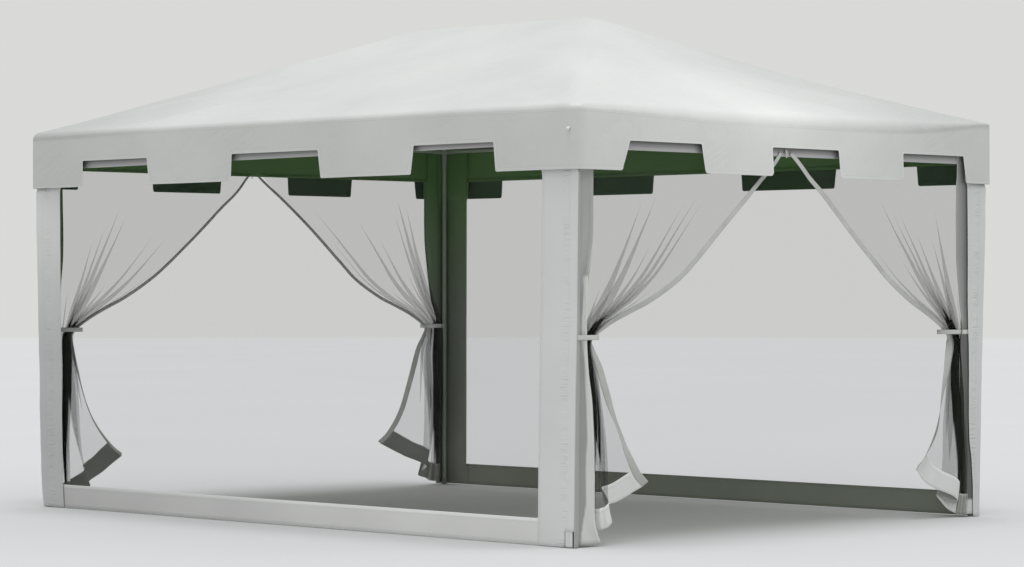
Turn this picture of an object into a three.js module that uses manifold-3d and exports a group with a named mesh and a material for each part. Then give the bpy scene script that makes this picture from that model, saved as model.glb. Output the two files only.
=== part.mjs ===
// A garden gazebo of 4 m by 3 m: a steel tube frame under a hipped cover with a notched valance,
// netting walls on the long sides, and netting curtains tied back on the short sides.
// Millimetres, +Z up, X along the long side, the front towards -Y.
// The origin is on the ground under the middle of the frame.
import * as THREE from "three";
import { ConvexGeometry } from "three/addons/geometries/ConvexGeometry.js";
import { mergeVertices } from "three/addons/utils/BufferGeometryUtils.js";
import Module from "manifold-3d";

const wasm = await Module();
wasm.setup();

// Cover
const halfLength = 2000;
const halfWidth = 1500;
const eaveHeight = 1962;
const ridgeHeight = 2512;
const ridgeHalfLength = 644;
const roofThickness = 5;
const valanceThickness = 4;
const notchHeight = 1808;
const tabHeight = 1674;
const tabTaper = 14;

// Valance notches: one in the centre, then a tab and an outer notch to each side
const longNotches = { centre: 640, tab: 670, outer: 530 };
const shortNotches = { centre: 480, tab: 495, outer: 485 };

// Walls, whose outer face lies inside the valance
const wallInset = 27;
const clothThickness = 3;
const headerBottom = 1773;
const headerTop = 1955;
const hemClearance = 2;
const borderHeight = 122;
const longBorder = 190;
const frontBorderShift = 20;
const shortBorder = 137;

// Frame tubes
const tubeRadius = 12.5;
const socketRadius = 15.5;
const socketLength = 90;
const socketDepth = 55;
const tubeSides = 12;
const bowSteps = 12;
const eaveTubeHeight = 1955.5;
const ridgeTubeHeight = 2489.9;
const footCapHeight = 32;
const footInset = 25;

// Curtains and straps
const tieHeight = 930;
const gatherAtTop = 12;
const gatherAtTie = 55;
const gatherAtHem = 36;
const strapHeight = 22;
const strapThickness = 3;
const strapReach = 1245;
// The free edge of a curtain, from the top down: distance from the middle of the side, height
const curtainEdge = [
  [15, headerBottom],
  [235, 1600],
  [530, 1360],
  [885, 1140],
  [1175, 1000],
  [1275, 920],
  [1235, 840],
  [1130, 500],
  [945, 250],
  [1030, 163],
  [1235, 60],
];

// Clearances between pieces
const touch = 0.3;
const seamGap = 0.15;

const postInset = wallInset + clothThickness + 0.5 + socketRadius;
const boreRadius = (tubeRadius + touch) / Math.cos(Math.PI / tubeSides);

// Each side: the turn that brings its local axes into place, its middle, and its own valance and walls.
// Locally x runs along the side, y inwards from the valance's outer face, and z up.
const sides = {
  front: {
    turn: 0,
    middle: [0, -halfWidth],
    half: halfLength,
    notches: longNotches,
    shift: -40,
    border: [longBorder - frontBorderShift, longBorder + frontBorderShift],
  },
  right: {
    turn: Math.PI / 2,
    middle: [halfLength, 0],
    half: halfWidth,
    notches: shortNotches,
    shift: 62,
    border: [shortBorder, shortBorder],
  },
  back: {
    turn: Math.PI,
    middle: [0, halfWidth],
    half: halfLength,
    notches: longNotches,
    shift: -10,
    border: [longBorder, longBorder],
  },
  left: {
    turn: -Math.PI / 2,
    middle: [-halfLength, 0],
    half: halfWidth,
    notches: shortNotches,
    shift: -33,
    border: [shortBorder, shortBorder],
  },
};

// Each corner: which way it lies from the middle, the widths of its sleeve's two flanges,
// and how far its hip rafter bows down under the cover's pull
const corners = {
  front_left: { x: -1, y: -1, alongX: sides.front.border[0], alongY: shortBorder, bow: 0 },
  front_right: { x: 1, y: -1, alongX: sides.front.border[1], alongY: shortBorder, bow: 8 },
  back_left: { x: -1, y: 1, alongX: longBorder, alongY: shortBorder, bow: 8 },
  back_right: { x: 1, y: 1, alongX: longBorder, alongY: shortBorder, bow: 18 },
};

const white = new THREE.MeshStandardMaterial({ color: 0xe6e8e6, roughness: 0.6, side: THREE.DoubleSide });
const border = new THREE.MeshStandardMaterial({ color: 0xc4c6c2, roughness: 0.8 });
const netting = new THREE.MeshStandardMaterial({
  color: 0x23261f,
  roughness: 0.9,
  transparent: true,
  opacity: 0.4,
});
const steel = new THREE.MeshStandardMaterial({ color: 0xd5d8d6, roughness: 0.4, metalness: 0.3 });

const gazebo = new THREE.Group();
const frame = new THREE.Group();
const cover = new THREE.Group();
const walls = new THREE.Group();
gazebo.add(frame, cover, walls);

function addMesh(group, name, geometry, material) {
  const mesh = new THREE.Mesh(geometry, material);
  mesh.name = name;
  group.add(mesh);
}

// Moves each vertex to where the function says
function moveVertices(geometry, where) {
  const position = geometry.getAttribute("position");
  for (let i = 0; i < position.count; i++) {
    const [x, y, z] = where(position.getX(i), position.getY(i), position.getZ(i));
    position.setXYZ(i, x, y, z);
  }
  geometry.computeVertexNormals();
  return geometry;
}

// The posts stand a little closer together at their feet, and the walls lean with them
function lean(geometry) {
  return moveVertices(geometry, (x, y, z) => {
    const inward = footInset * Math.max(0, 1 - z / eaveTubeHeight);
    return [x * (1 - inward / halfLength), y * (1 - inward / halfWidth), z];
  });
}

function ontoSide(geometry, side) {
  return geometry.rotateZ(side.turn).translate(side.middle[0], side.middle[1], 0);
}

// A flat piece of a side: its outline is drawn along the side and up
function sheetOnSide(side, outline, inset, thickness) {
  const shape = new THREE.Shape(outline.map(([along, up]) => new THREE.Vector2(along, up)));
  const geometry = new THREE.ExtrudeGeometry(shape, { depth: thickness, bevelEnabled: false });
  geometry.rotateX(Math.PI / 2).translate(0, inset + thickness, 0);
  return ontoSide(geometry, side);
}

function rectangle(left, right, bottom, top) {
  return [
    [left, bottom],
    [right, bottom],
    [right, top],
    [left, top],
  ];
}

function toSolid(geometry) {
  const plain = geometry.clone();
  plain.deleteAttribute("normal");
  plain.deleteAttribute("uv");
  const merged = mergeVertices(plain, 1e-4);
  return new wasm.Manifold(
    new wasm.Mesh({
      numProp: 3,
      vertProperties: new Float32Array(merged.attributes.position.array),
      triVerts: new Uint32Array(merged.index.array),
    }),
  );
}

function toGeometry(solid) {
  const mesh = solid.getMesh();
  const geometry = new THREE.BufferGeometry();
  geometry.setAttribute("position", new THREE.BufferAttribute(mesh.vertProperties, mesh.numProp));
  geometry.setIndex(new THREE.BufferAttribute(mesh.triVerts, 1));
  geometry.computeVertexNormals();
  return geometry;
}

// A round bar from one point to another
function rod(from, to, radius, steps = 1) {
  const axis = new THREE.Vector3().subVectors(to, from);
  const geometry = new THREE.CylinderGeometry(radius, radius, axis.length(), tubeSides, steps);
  geometry.translate(0, axis.length() / 2, 0);
  const turn = new THREE.Quaternion().setFromUnitVectors(new THREE.Vector3(0, 1, 0), axis.normalize());
  return geometry.applyQuaternion(turn).translate(from.x, from.y, from.z);
}

// An upright bar that leans as the posts do
function uprightRod(x, y, bottom, top, radius) {
  return lean(rod(new THREE.Vector3(x, y, bottom), new THREE.Vector3(x, y, top), radius));
}

function towards(from, to, distance) {
  return new THREE.Vector3().subVectors(to, from).setLength(distance).add(from);
}

const cornerHub = (corner) =>
  new THREE.Vector3(
    corner.x * (halfLength - postInset),
    corner.y * (halfWidth - postInset),
    eaveTubeHeight,
  );
const ridgeHub = (end) => new THREE.Vector3(end * ridgeHalfLength, 0, ridgeTubeHeight);

// A ball with a socket pointing at each target, bored for the tubes
function hub(centre, targets) {
  const ball = new THREE.SphereGeometry(socketRadius, tubeSides, 8);
  let body = toSolid(ball.translate(centre.x, centre.y, centre.z));
  for (const target of targets)
    body = body.add(toSolid(rod(centre, towards(centre, target, socketLength), socketRadius)));
  for (const target of targets) {
    const start = towards(centre, target, socketLength - socketDepth);
    const end = towards(centre, target, socketLength + 5);
    body = body.subtract(toSolid(rod(start, end, boreRadius)));
  }
  return body;
}

// A tube whose ends stand in the sockets of two hubs
function tubeBetween(from, to, steps = 1) {
  const seat = socketLength - socketDepth + touch;
  return rod(towards(from, to, seat), towards(to, from, seat), tubeRadius, steps);
}

// Bows a tube down between the mouths of its two sockets
function bowDown(geometry, from, to, bow) {
  const length = from.distanceTo(to);
  const axis = new THREE.Vector3().subVectors(to, from).normalize();
  return moveVertices(geometry, (x, y, z) => {
    const reach = new THREE.Vector3(x, y, z).sub(from).dot(axis);
    const share = (reach - socketLength) / (length - 2 * socketLength);
    return [x, y, z - bow * Math.sin(Math.PI * THREE.MathUtils.clamp(share, 0, 1)) ** 2];
  });
}

function addFrame() {
  for (const [name, corner] of Object.entries(corners)) {
    const centre = cornerHub(corner);
    const acrossX = new THREE.Vector3(-centre.x, centre.y, centre.z);
    const acrossY = new THREE.Vector3(centre.x, -centre.y, centre.z);
    const ridgeEnd = ridgeHub(corner.x);
    const down = centre.z - socketLength;
    let connector = hub(centre, [acrossX, acrossY, ridgeEnd]);
    connector = connector.add(toSolid(uprightRod(centre.x, centre.y, down, centre.z, socketRadius)));
    const boreTop = down + socketDepth;
    connector = connector.subtract(toSolid(uprightRod(centre.x, centre.y, down - 5, boreTop, boreRadius)));
    addMesh(frame, `corner_connector_${name}`, toGeometry(connector), steel);

    const tube = toSolid(uprightRod(centre.x, centre.y, 0, boreTop - touch, tubeRadius));
    const footCap = toSolid(uprightRod(centre.x, centre.y, 0, footCapHeight, socketRadius));
    addMesh(frame, `post_${name}`, toGeometry(tube.add(footCap)), steel);
    const straight = tubeBetween(centre, ridgeEnd, bowSteps);
    const rafter = bowDown(straight, centre, ridgeEnd, corner.bow);
    addMesh(frame, `hip_rafter_${name}`, rafter, steel);
  }
  const { front_left, front_right, back_left, back_right } = corners;
  const eaves = {
    front: [front_left, front_right],
    right: [front_right, back_right],
    back: [back_left, back_right],
    left: [front_left, back_left],
  };
  for (const [name, [from, to]] of Object.entries(eaves))
    addMesh(frame, `eave_tube_${name}`, tubeBetween(cornerHub(from), cornerHub(to)), steel);

  let ridge = toSolid(rod(ridgeHub(-1), ridgeHub(1), tubeRadius));
  for (const end of [-1, 1]) {
    const targets = Object.values(corners).filter((corner) => corner.x === end).map(cornerHub);
    const socketEnd = towards(ridgeHub(end), ridgeHub(-end), socketLength);
    ridge = ridge.add(hub(ridgeHub(end), targets));
    ridge = ridge.add(toSolid(rod(ridgeHub(end), socketEnd, socketRadius)));
  }
  addMesh(frame, "ridge_tube", toGeometry(ridge), steel);
}

// A roof panel spans its corners and is as thick all over, measured upright
function roofPanel(outline) {
  const points = outline.flatMap(([x, y, z]) => [
    new THREE.Vector3(x, y, z),
    new THREE.Vector3(x, y, z - roofThickness),
  ]);
  return new ConvexGeometry(points);
}

function addRoof() {
  for (const [name, y] of Object.entries({ front: -1, back: 1 }))
    addMesh(
      cover,
      `roof_panel_${name}`,
      roofPanel([
        [-halfLength + seamGap, y * halfWidth, eaveHeight],
        [halfLength - seamGap, y * halfWidth, eaveHeight],
        [ridgeHalfLength - seamGap, y * seamGap, ridgeHeight],
        [-ridgeHalfLength + seamGap, y * seamGap, ridgeHeight],
      ]),
      white,
    );
  for (const [name, x] of Object.entries({ right: 1, left: -1 }))
    addMesh(
      cover,
      `roof_panel_${name}`,
      roofPanel([
        [x * halfLength, -halfWidth + seamGap, eaveHeight],
        [x * halfLength, halfWidth - seamGap, eaveHeight],
        [x * (ridgeHalfLength + seamGap), 0, ridgeHeight],
      ]),
      white,
    );
}

// Where the three notches of a side begin and end, along the side
function notchSpans({ notches: { centre, tab, outer }, shift }) {
  const inner = centre / 2;
  const far = inner + tab;
  return [
    [shift - far - outer, shift - far],
    [shift - inner, shift + inner],
    [shift + far, shift + far + outer],
  ];
}

function addValances() {
  for (const [name, side] of Object.entries(sides)) {
    const onShortSide = side.half === halfWidth;
    const end = side.half - (onShortSide ? valanceThickness + touch : 0);
    const top = eaveHeight - roofThickness - touch;
    const outline = [
      [end, top],
      [-end, top],
      [-end, tabHeight],
    ];
    for (const [start, stop] of notchSpans(side))
      outline.push(
        [start - tabTaper, tabHeight],
        [start, notchHeight],
        [stop, notchHeight],
        [stop + tabTaper, tabHeight],
      );
    outline.push([end, tabHeight]);
    addMesh(cover, `valance_${name}`, sheetOnSide(side, outline, 0, valanceThickness), white);
  }
}

// The sleeve wraps a post's two outer faces, with one flange on each
function addSleeve(name, corner) {
  const x = halfLength - wallInset;
  const y = halfWidth - wallInset;
  const behind = y - clothThickness - touch;
  const flanges = {
    long: [
      [x, y],
      [x - corner.alongX, y],
      [x - corner.alongX, y - clothThickness],
      [x, y - clothThickness],
    ],
    short: [
      [x, behind],
      [x - clothThickness, behind],
      [x - clothThickness, y - corner.alongY],
      [x, y - corner.alongY],
    ],
  };
  const height = headerTop - hemClearance;
  for (const [flange, plan] of Object.entries(flanges)) {
    const shape = new THREE.Shape(plan.map(([a, b]) => new THREE.Vector2(a * corner.x, b * corner.y)));
    const geometry = new THREE.ExtrudeGeometry(shape, { depth: height, bevelEnabled: false });
    const leaning = lean(geometry.translate(0, 0, hemClearance));
    addMesh(walls, `corner_sleeve_${name}_${flange}`, leaning, border);
  }
}

function addWalls() {
  for (const [name, corner] of Object.entries(corners)) addSleeve(name, corner);
  for (const [name, side] of Object.entries(sides)) {
    const left = -side.half + wallInset + side.border[0] + touch;
    const right = side.half - wallInset - side.border[1] - touch;
    const strip = (bottom, top) =>
      lean(sheetOnSide(side, rectangle(left, right, bottom, top), wallInset, clothThickness));
    addMesh(walls, `header_band_${name}`, strip(headerBottom, headerTop), border);
    if (side.half === halfLength) {
      addMesh(walls, `bottom_border_${name}`, strip(hemClearance, borderHeight), border);
      const net = strip(borderHeight + touch, headerBottom - touch);
      addMesh(walls, `netting_panel_${name}`, net, netting);
    }
  }
}

// How deep the folds of a curtain stand at a height
function gatherDepth(z) {
  if (z > tieHeight)
    return THREE.MathUtils.mapLinear(z, headerBottom, tieHeight, gatherAtTop, gatherAtTie);
  return THREE.MathUtils.mapLinear(z, tieHeight, 0, gatherAtTie, gatherAtHem);
}

// A netting curtain on one half of a side, swept back to its sleeve at the tie
function curtain(side, end) {
  const post = side.half - wallInset - shortBorder - touch;
  const free = curtainEdge.map(([along, up]) => [along, up - touch]);
  const outline = [...free, [post, hemClearance + 10], [post, headerBottom - touch]];
  const shape = new THREE.Shape(outline.map(([along, up]) => new THREE.Vector2(end * along, up)));
  const geometry = new THREE.ExtrudeGeometry(shape, { depth: 1, bevelEnabled: false });
  geometry.rotateX(Math.PI / 2).translate(0, 1, 0);
  moveVertices(geometry, (x, y, z) => [x, wallInset + y * gatherDepth(z), z]);
  return lean(ontoSide(geometry, side));
}

// A strap runs outside the sleeve's flange and round the gathered curtain
function strap(side, end) {
  const post = side.half - wallInset;
  const outside = wallInset - touch - strapThickness;
  const inside = wallInset + gatherAtTie + 4;
  const plan = [
    [post, outside],
    [strapReach, outside],
    [strapReach, inside + strapThickness],
    [post - 80, inside + strapThickness],
    [post - 80, inside],
    [strapReach + strapThickness, inside],
    [strapReach + strapThickness, outside + strapThickness],
    [post, outside + strapThickness],
  ];
  const shape = new THREE.Shape(plan.map(([along, inward]) => new THREE.Vector2(end * along, inward)));
  const geometry = new THREE.ExtrudeGeometry(shape, { depth: strapHeight, bevelEnabled: false });
  geometry.translate(0, 0, tieHeight - strapHeight / 2);
  return lean(ontoSide(geometry, side));
}

function addCurtains() {
  const ends = {
    right_front: [sides.right, -1],
    right_back: [sides.right, 1],
    left_front: [sides.left, 1],
    left_back: [sides.left, -1],
  };
  for (const [name, [side, end]] of Object.entries(ends)) {
    addMesh(walls, `curtain_${name}`, curtain(side, end), netting);
    addMesh(walls, `strap_${name}`, strap(side, end), white);
  }
}

addFrame();
addRoof();
addValances();
addWalls();
addCurtains();

export default gazebo;
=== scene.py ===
"""A garden gazebo of 4 m by 3 m: a steel tube frame under a hipped cover with a notched valance,
netting walls with white borders on the long sides, and netting curtains tied back on the short sides.

Metres, +Z up, X along the long side, the front towards -Y, the origin on the ground under the middle.
On each side, along runs from its left to its right as seen from outside, and inset goes inwards."""

import functools
import math

import bmesh
import bpy
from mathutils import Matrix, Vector, noise


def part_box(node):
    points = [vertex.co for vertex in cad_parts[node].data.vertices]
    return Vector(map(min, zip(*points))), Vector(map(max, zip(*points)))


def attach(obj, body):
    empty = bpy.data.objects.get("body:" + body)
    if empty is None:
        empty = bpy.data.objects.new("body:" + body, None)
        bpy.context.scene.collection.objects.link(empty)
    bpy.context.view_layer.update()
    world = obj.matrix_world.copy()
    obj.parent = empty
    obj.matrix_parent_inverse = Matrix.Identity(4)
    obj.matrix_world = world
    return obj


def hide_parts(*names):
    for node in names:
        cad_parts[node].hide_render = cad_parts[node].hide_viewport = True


bpy.ops.wm.read_factory_settings(use_empty=True)
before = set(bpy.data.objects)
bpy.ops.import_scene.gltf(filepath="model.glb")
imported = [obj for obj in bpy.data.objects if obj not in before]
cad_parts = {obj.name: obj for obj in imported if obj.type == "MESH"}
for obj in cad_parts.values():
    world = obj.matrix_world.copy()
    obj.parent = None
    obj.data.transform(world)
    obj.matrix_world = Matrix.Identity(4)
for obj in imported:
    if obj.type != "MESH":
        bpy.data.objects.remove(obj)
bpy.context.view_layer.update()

# Roof: its outline, the radius of its eave, how softly its planes meet at the foot of the hips and
# further up, how much softer they meet along the near hip, and how long the slope is from eave to ridge
HALF_LENGTH = 2.0
HALF_WIDTH = 1.5
EAVE_HEIGHT = 1.962
RIDGE_HEIGHT = 2.512
RIDGE_HALF = 0.644
EAVE_RADIUS = 0.032
EAVE_RADIUS_RIGHT = 0.075
BACK_RIGHT_LIFT = 0.015
CREST_SOFTNESS = (0.004, 0.014)
NEAR_HIP_SOFTNESS = 0.008
SLOPE_LENGTH = 1.6

# Valance, whose notches reach up to one height and whose tabs hang down to another
NOTCH_HEIGHT = 1.808
TAB_HEIGHT = 1.674
NOTCH_CORNER = 0.008
COVER_THICKNESS = 0.0012
EYELET_FROM_CORNER = 0.05
EYELET_HEIGHT = 1.852

# Hems of the cloth: how wide they are folded, and how far from a hem and a seam the stitches run
HEM_WIDTH = 0.02
HEM_STITCHES = 0.016
SEAM_STITCHES = 0.005
STITCH_LENGTH = 0.0045
STITCH_WIDTH = 0.0012
# A distance that counts as far from every hem and seam
FAR = 0.2
# How far apart two seeds lie in the random noise
SEED_STEP = 37.3

# Walls, whose outer face lies inside the valance
WALL_INSET = 0.0275
NET_INSET = 0.034
OVERLAP = 0.012
CLOTH_THICKNESS = 0.0012
HEADER_BOTTOM = 1.773
HEADER_TOP = 1.955
BORDER_HEIGHT = 0.122
HEM_CLEARANCE = 0.002
WALL_BILLOW = 0.003
EAVE_TUBE_HEIGHT = 1.9555
FOOT_INSET = 0.025

# Steel frame
TUBE_RADIUS = 0.0125
SOCKET_RADIUS = 0.0155
SOCKET_LENGTH = 0.09
POST_INSET = 0.046
RIDGE_TUBE_HEIGHT = 2.4899
POST_JOINT = 1.02
FOOT_RUN = 0.0244
FRONT_RIGHT_FOOT_RUN = 0.0345
FOOT_CLEARANCE = 0.0004
SLIDER_INSET = 0.0175
SLIDER_HEIGHT = 1.792

# Curtains and straps
TIE_HEIGHT = 0.93
STRAP_HEIGHT = 0.022
STRAP_THICKNESS = 0.0015
TRIM_THICKNESS = 0.001

# The two kinds of side: distance from the middle, half of the length, and the valance's notches: one in
# the centre, then a tab and an outer notch to each side
LONG_SIDE = {
    "reach": HALF_WIDTH,
    "half": HALF_LENGTH,
    "notches": {"centre": 0.64, "tab": 0.67, "outer": 0.53},
}
SHORT_SIDE = {
    "reach": HALF_LENGTH,
    "half": HALF_WIDTH,
    "notches": {"centre": 0.48, "tab": 0.495, "outer": 0.485},
}
# The sides in the order of a walk round the gazebo: turn in degrees, corners at the left and right end,
# how far the notches sit from the centre, sag of the roof panel, how far each of the six notch edges
# slants to the right towards the hem, and the tabs' corner radius
SIDES = {
    "front": {
        **LONG_SIDE,
        "turn": 0,
        "corners": ("front_left", "front_right"),
        "shift": -0.04,
        "sag": 0.016,
        "slants": (0, 0.014, -0.004, 0.018, -0.0145, 0.01),
        "tab_corner": 0.009,
    },
    "right": {
        **SHORT_SIDE,
        "turn": 90,
        "corners": ("front_right", "back_right"),
        "shift": 0.062,
        "sag": 0.012,
        "slants": (-0.038, 0.022, 0.008, 0.012, 0.003, 0.019),
        "tab_corner": 0.019,
    },
    "back": {
        **LONG_SIDE,
        "turn": 180,
        "corners": ("back_right", "back_left"),
        "shift": -0.01,
        "sag": 0.014,
        "slants": (-0.012, 0.014, -0.01, 0.012, -0.014, 0.01),
        "tab_corner": 0.012,
    },
    "left": {
        **SHORT_SIDE,
        "turn": 270,
        "corners": ("back_left", "front_left"),
        "shift": -0.033,
        "sag": 0.012,
        "slants": (-0.01, 0.012, -0.008, 0.01, -0.012, 0.012),
        "tab_corner": 0.012,
    },
}
# The corners: which way each lies in X and Y, the radius of the cover's upright edge and of its eave
# there, how far the hip hangs below a straight line, and a seed for the folds. The near hip bows upwards.
CORNERS = {
    "front_left": {"ends": (-1, -1), "edge": 0.014, "eave": 0.042, "hip_sag": 0.0, "seed": 3},
    "front_right": {"ends": (1, -1), "edge": 0.075, "eave": 0.038, "hip_sag": -0.01, "seed": 0},
    "back_left": {"ends": (-1, 1), "edge": 0.03, "eave": 0.025, "hip_sag": 0.006, "seed": 2},
    "back_right": {"ends": (1, 1), "edge": 0.014, "eave": 0.013, "hip_sag": 0.016, "seed": 1},
}
# Each corner's sleeve: the side before it and the one after it on a walk round the gazebo. For each
# of these it has how far the fold lies inside the side's face, as (height, inset), the flange's width
# from the fold, as (height, width), and how far the flange's far edge lies inside the side's face.
SLEEVES = {
    "front_right": {
        "sides": ("front", "right"),
        "folds": (
            [(0, 0.018), (0.66, 0.024), (0.97, 0.027), (1.66, 0.03)],
            [(0, 0.03), (0.66, 0.024), (0.97, 0.018), (1.66, 0.013)],
        ),
        "widths": ([(0, 0.234), (0.92, 0.23), (1.67, 0.22)], [(0, 0.042)]),
        "edges": (0.023, 0.042),
    },
    "back_right": {
        "sides": ("right", "back"),
        "folds": ([(0, 0.014), (0.95, 0.012), (1.66, 0.01)], [(0, 0.014), (0.95, 0.012), (1.66, 0.012)]),
        "widths": (
            [
                (0, 0.048), (0.07, 0.051), (0.16, 0.056), (0.285, 0.069), (0.38, 0.09), (0.5, 0.099),
                (0.71, 0.104), (0.86, 0.11), (0.93, 0.117), (1.09, 0.126), (1.29, 0.131), (1.67, 0.145),
            ],
            [(0, 0.137)],
        ),
        "edges": (0.0195, 0.023),
    },
    "back_left": {
        "sides": ("back", "left"),
        "folds": ([(0, 0.02)], [(0, 0.018)]),
        "widths": ([(0, 0.195)], [(0, 0.07)]),
        "edges": (0.023, 0.0195),
    },
    "front_left": {
        "sides": ("left", "front"),
        "folds": ([(0, 0.02), (0.12, 0.012), (1.66, 0.01)], [(0, 0.018), (0.12, 0.01), (1.66, 0.0095)]),
        "widths": ([(0, 0.13)], [(0, 0.175), (0.88, 0.181), (1.67, 0.195)]),
        "edges": (0.0195, 0.023),
    },
}
FOLD_RADIUS = 0.008
# How far the fold and the edges lie inside where the valance hides them
HIDDEN_FOLD = 0.0295
HIDDEN_EDGE = 0.0225


# Helpers


def on_side(side, along, inset, height):
    """A point of a side, in the gazebo's own axes."""
    turn = math.radians(side["turn"])
    out = side["reach"] - inset
    x = along * math.cos(turn) + out * math.sin(turn)
    y = along * math.sin(turn) - out * math.cos(turn)
    return Vector((x, y, height))


def outward(side, swing=0.0):
    """The level direction that points out of a side, swung by an angle towards its right end."""
    turn = math.radians(side["turn"]) + swing
    return Vector((math.sin(turn), -math.cos(turn), 0))


def at_ends(name, measure):
    """A measure of the corners at the left and right end of a side."""
    return [CORNERS[corner][measure] for corner in SIDES[name]["corners"]]


def lean(point):
    """The posts stand a little closer together at their feet, and the walls lean with them."""
    inward = FOOT_INSET * max(0, 1 - point.z / EAVE_TUBE_HEIGHT)
    x = point.x * (1 - inward / HALF_LENGTH)
    y = point.y * (1 - inward / HALF_WIDTH)
    return Vector((x, y, point.z))


def wander(point, size, seed):
    """A smooth random value from about -1 to 1 that changes over the given size."""
    return noise.noise(Vector((point.x / size, point.y / size, point.z / size + SEED_STEP * seed)))


def ease(share):
    share = min(max(share, 0), 1)
    return share * share * (3 - 2 * share)


def blend(a, b, share):
    return a + (b - a) * share


def hump(distance, width):
    """A soft hump, 1 at no distance."""
    return math.exp(-((distance / width) ** 2))


def between(points, position):
    """The value at a position on a line of straight stretches through (position, value) points."""
    for (x1, y1), (x2, y2) in zip(points, points[1:]):
        if position <= x2:
            return blend(y1, y2, max(0, (position - x1) / (x2 - x1)))
    return points[-1][1]


def through(points, position):
    """The value at a position on a smooth line through (position, value) points."""
    if position <= points[0][0]:
        return points[0][1]
    for i in range(len(points) - 1):
        (x1, y1), (x2, y2) = points[i], points[i + 1]
        if position <= x2:
            x0, y0 = points[max(i - 1, 0)]
            x3, y3 = points[min(i + 2, len(points) - 1)]
            start = (y2 - y0) / (x2 - x0) * (x2 - x1)
            end = (y3 - y1) / (x3 - x1) * (x2 - x1)
            t = (position - x1) / (x2 - x1)
            a = 2 * t**3 - 3 * t**2 + 1
            b = t**3 - 2 * t**2 + t
            c = 3 * t**2 - 2 * t**3
            d = t**3 - t**2
            return a * y1 + b * start + c * y2 + d * end
    return points[-1][1]


def select_only(*objects):
    bpy.ops.object.select_all(action="DESELECT")
    for piece in objects:
        piece.select_set(True)
    bpy.context.view_layer.objects.active = objects[0]


def make_sheet(name, columns, rows, place, cut, hem=None, seam=None, tone=None):
    """A grid of cloth. place gives each vertex's point, and cut its place in the flat cloth, in metres.
    hem and seam give its distance from the nearest hem and seam; a plain sheet is hemmed all round.
    tone gives the painted shade: how much of the cloth's own colour shows, 1 is none and 0 is black."""
    bpy.ops.object.select_all(action="DESELECT")
    bpy.ops.mesh.primitive_grid_add(x_subdivisions=columns, y_subdivisions=rows, size=2)
    sheet = bpy.context.object
    sheet.name = name
    sheet.data.name = name
    steps = []
    for vertex in sheet.data.vertices:
        column = round((vertex.co.x + 1) / 2 * columns)
        row = round((vertex.co.y + 1) / 2 * rows)
        steps.append((column, row))
    for vertex, (column, row) in zip(sheet.data.vertices, steps):
        vertex.co = place(column, row)
    flat = sheet.data.uv_layers[0]
    flat.name = "Cut"
    for loop in sheet.data.loops:
        flat.data[loop.index].uv = cut(*steps[loop.vertex_index])
    if hem is None:
        left, bottom = cut(0, 0)
        right, top = cut(columns, rows)

        def hem(column, row):
            across, up = cut(column, row)
            return min(abs(across - left), abs(right - across), up - bottom, top - up)

    for attribute, value_at, plain in (("Hem", hem, FAR), ("Seam", seam, FAR), ("PaintedShade", tone, 1)):
        layer = sheet.data.attributes.new(attribute, "FLOAT", "POINT")
        values = [min(value_at(*step), plain) if value_at else plain for step in steps]
        layer.data.foreach_set("value", values)
    return sheet


def for_piece(name, *kinds):
    """Functions that know the piece's name already, and are asked by column and row."""
    return [functools.partial(kind, name) for kind in kinds]


def give_thickness(sheet, thickness):
    """Thickens a sheet inwards. Its inner face takes the second material."""
    solid = sheet.modifiers.new("Thickness", "SOLIDIFY")
    solid.thickness = thickness
    solid.offset = -1
    solid.material_offset = 1
    solid.material_offset_rim = 0
    select_only(sheet)
    bpy.ops.object.modifier_apply(modifier=solid.name)


def take_out(sheet, columns, is_open):
    """Takes faces out of a sheet. is_open tells by column and row which ones go."""
    cloth = bmesh.new()
    cloth.from_mesh(sheet.data)
    gone = [face for face in cloth.faces if is_open(face.index % columns, face.index // columns)]
    bmesh.ops.delete(cloth, geom=gone, context="FACES")
    cloth.to_mesh(sheet.data)
    cloth.free()


def dress(piece, *materials):
    for material in materials:
        piece.data.materials.append(material)
    piece.data.shade_smooth()


def hand_over(piece, slot, *nodes):
    """The finished piece rides on the gazebo and stands for its CAD nodes."""
    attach(piece, "root")
    if nodes:
        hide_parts(*nodes)


def finish(piece, material, slot, *nodes):
    dress(piece, material)
    hand_over(piece, slot, *nodes)


def finish_cloth(sheet, outside, inside, thickness, slot, *nodes):
    """Gives a sheet the cloth's two faces and thickness, and hands it over."""
    dress(sheet, outside, inside)
    give_thickness(sheet, thickness)
    hand_over(sheet, slot, *nodes)


def joined(name, pieces):
    """One object out of some pieces."""
    select_only(*pieces)
    bpy.ops.object.join()
    whole = bpy.context.object
    whole.name = name
    whole.data.name = name
    return whole


# Materials


def new_material(name, roughness, specular=0.5):
    material = bpy.data.materials.new(name)
    material.use_nodes = True
    shader = material.node_tree.nodes["Principled BSDF"]
    shader.inputs["Roughness"].default_value = roughness
    shader.inputs["Specular IOR Level"].default_value = specular
    return material, material.node_tree, shader


def add_node(tree, kind, **settings):
    node = tree.nodes.new(kind)
    for name, value in settings.items():
        if name in node.inputs:
            node.inputs[name].default_value = value
        else:
            setattr(node, name, value)
    return node


def compute(tree, operation, *values, clamp=False):
    """A sum or other step of arithmetic on numbers and other nodes' results."""
    node = add_node(tree, "ShaderNodeMath", operation=operation, use_clamp=clamp)
    for socket, value in zip(node.inputs, values):
        if isinstance(value, (int, float)):
            socket.default_value = value
        else:
            tree.links.new(value, socket)
    return node.outputs["Value"]


def near(tree, value, centre, reach):
    """1 where a value is at the centre, down to 0 at the reach to either side."""
    away = compute(tree, "ABSOLUTE", compute(tree, "SUBTRACT", value, centre))
    return compute(tree, "SUBTRACT", 1, compute(tree, "DIVIDE", away, reach), clamp=True)


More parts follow.
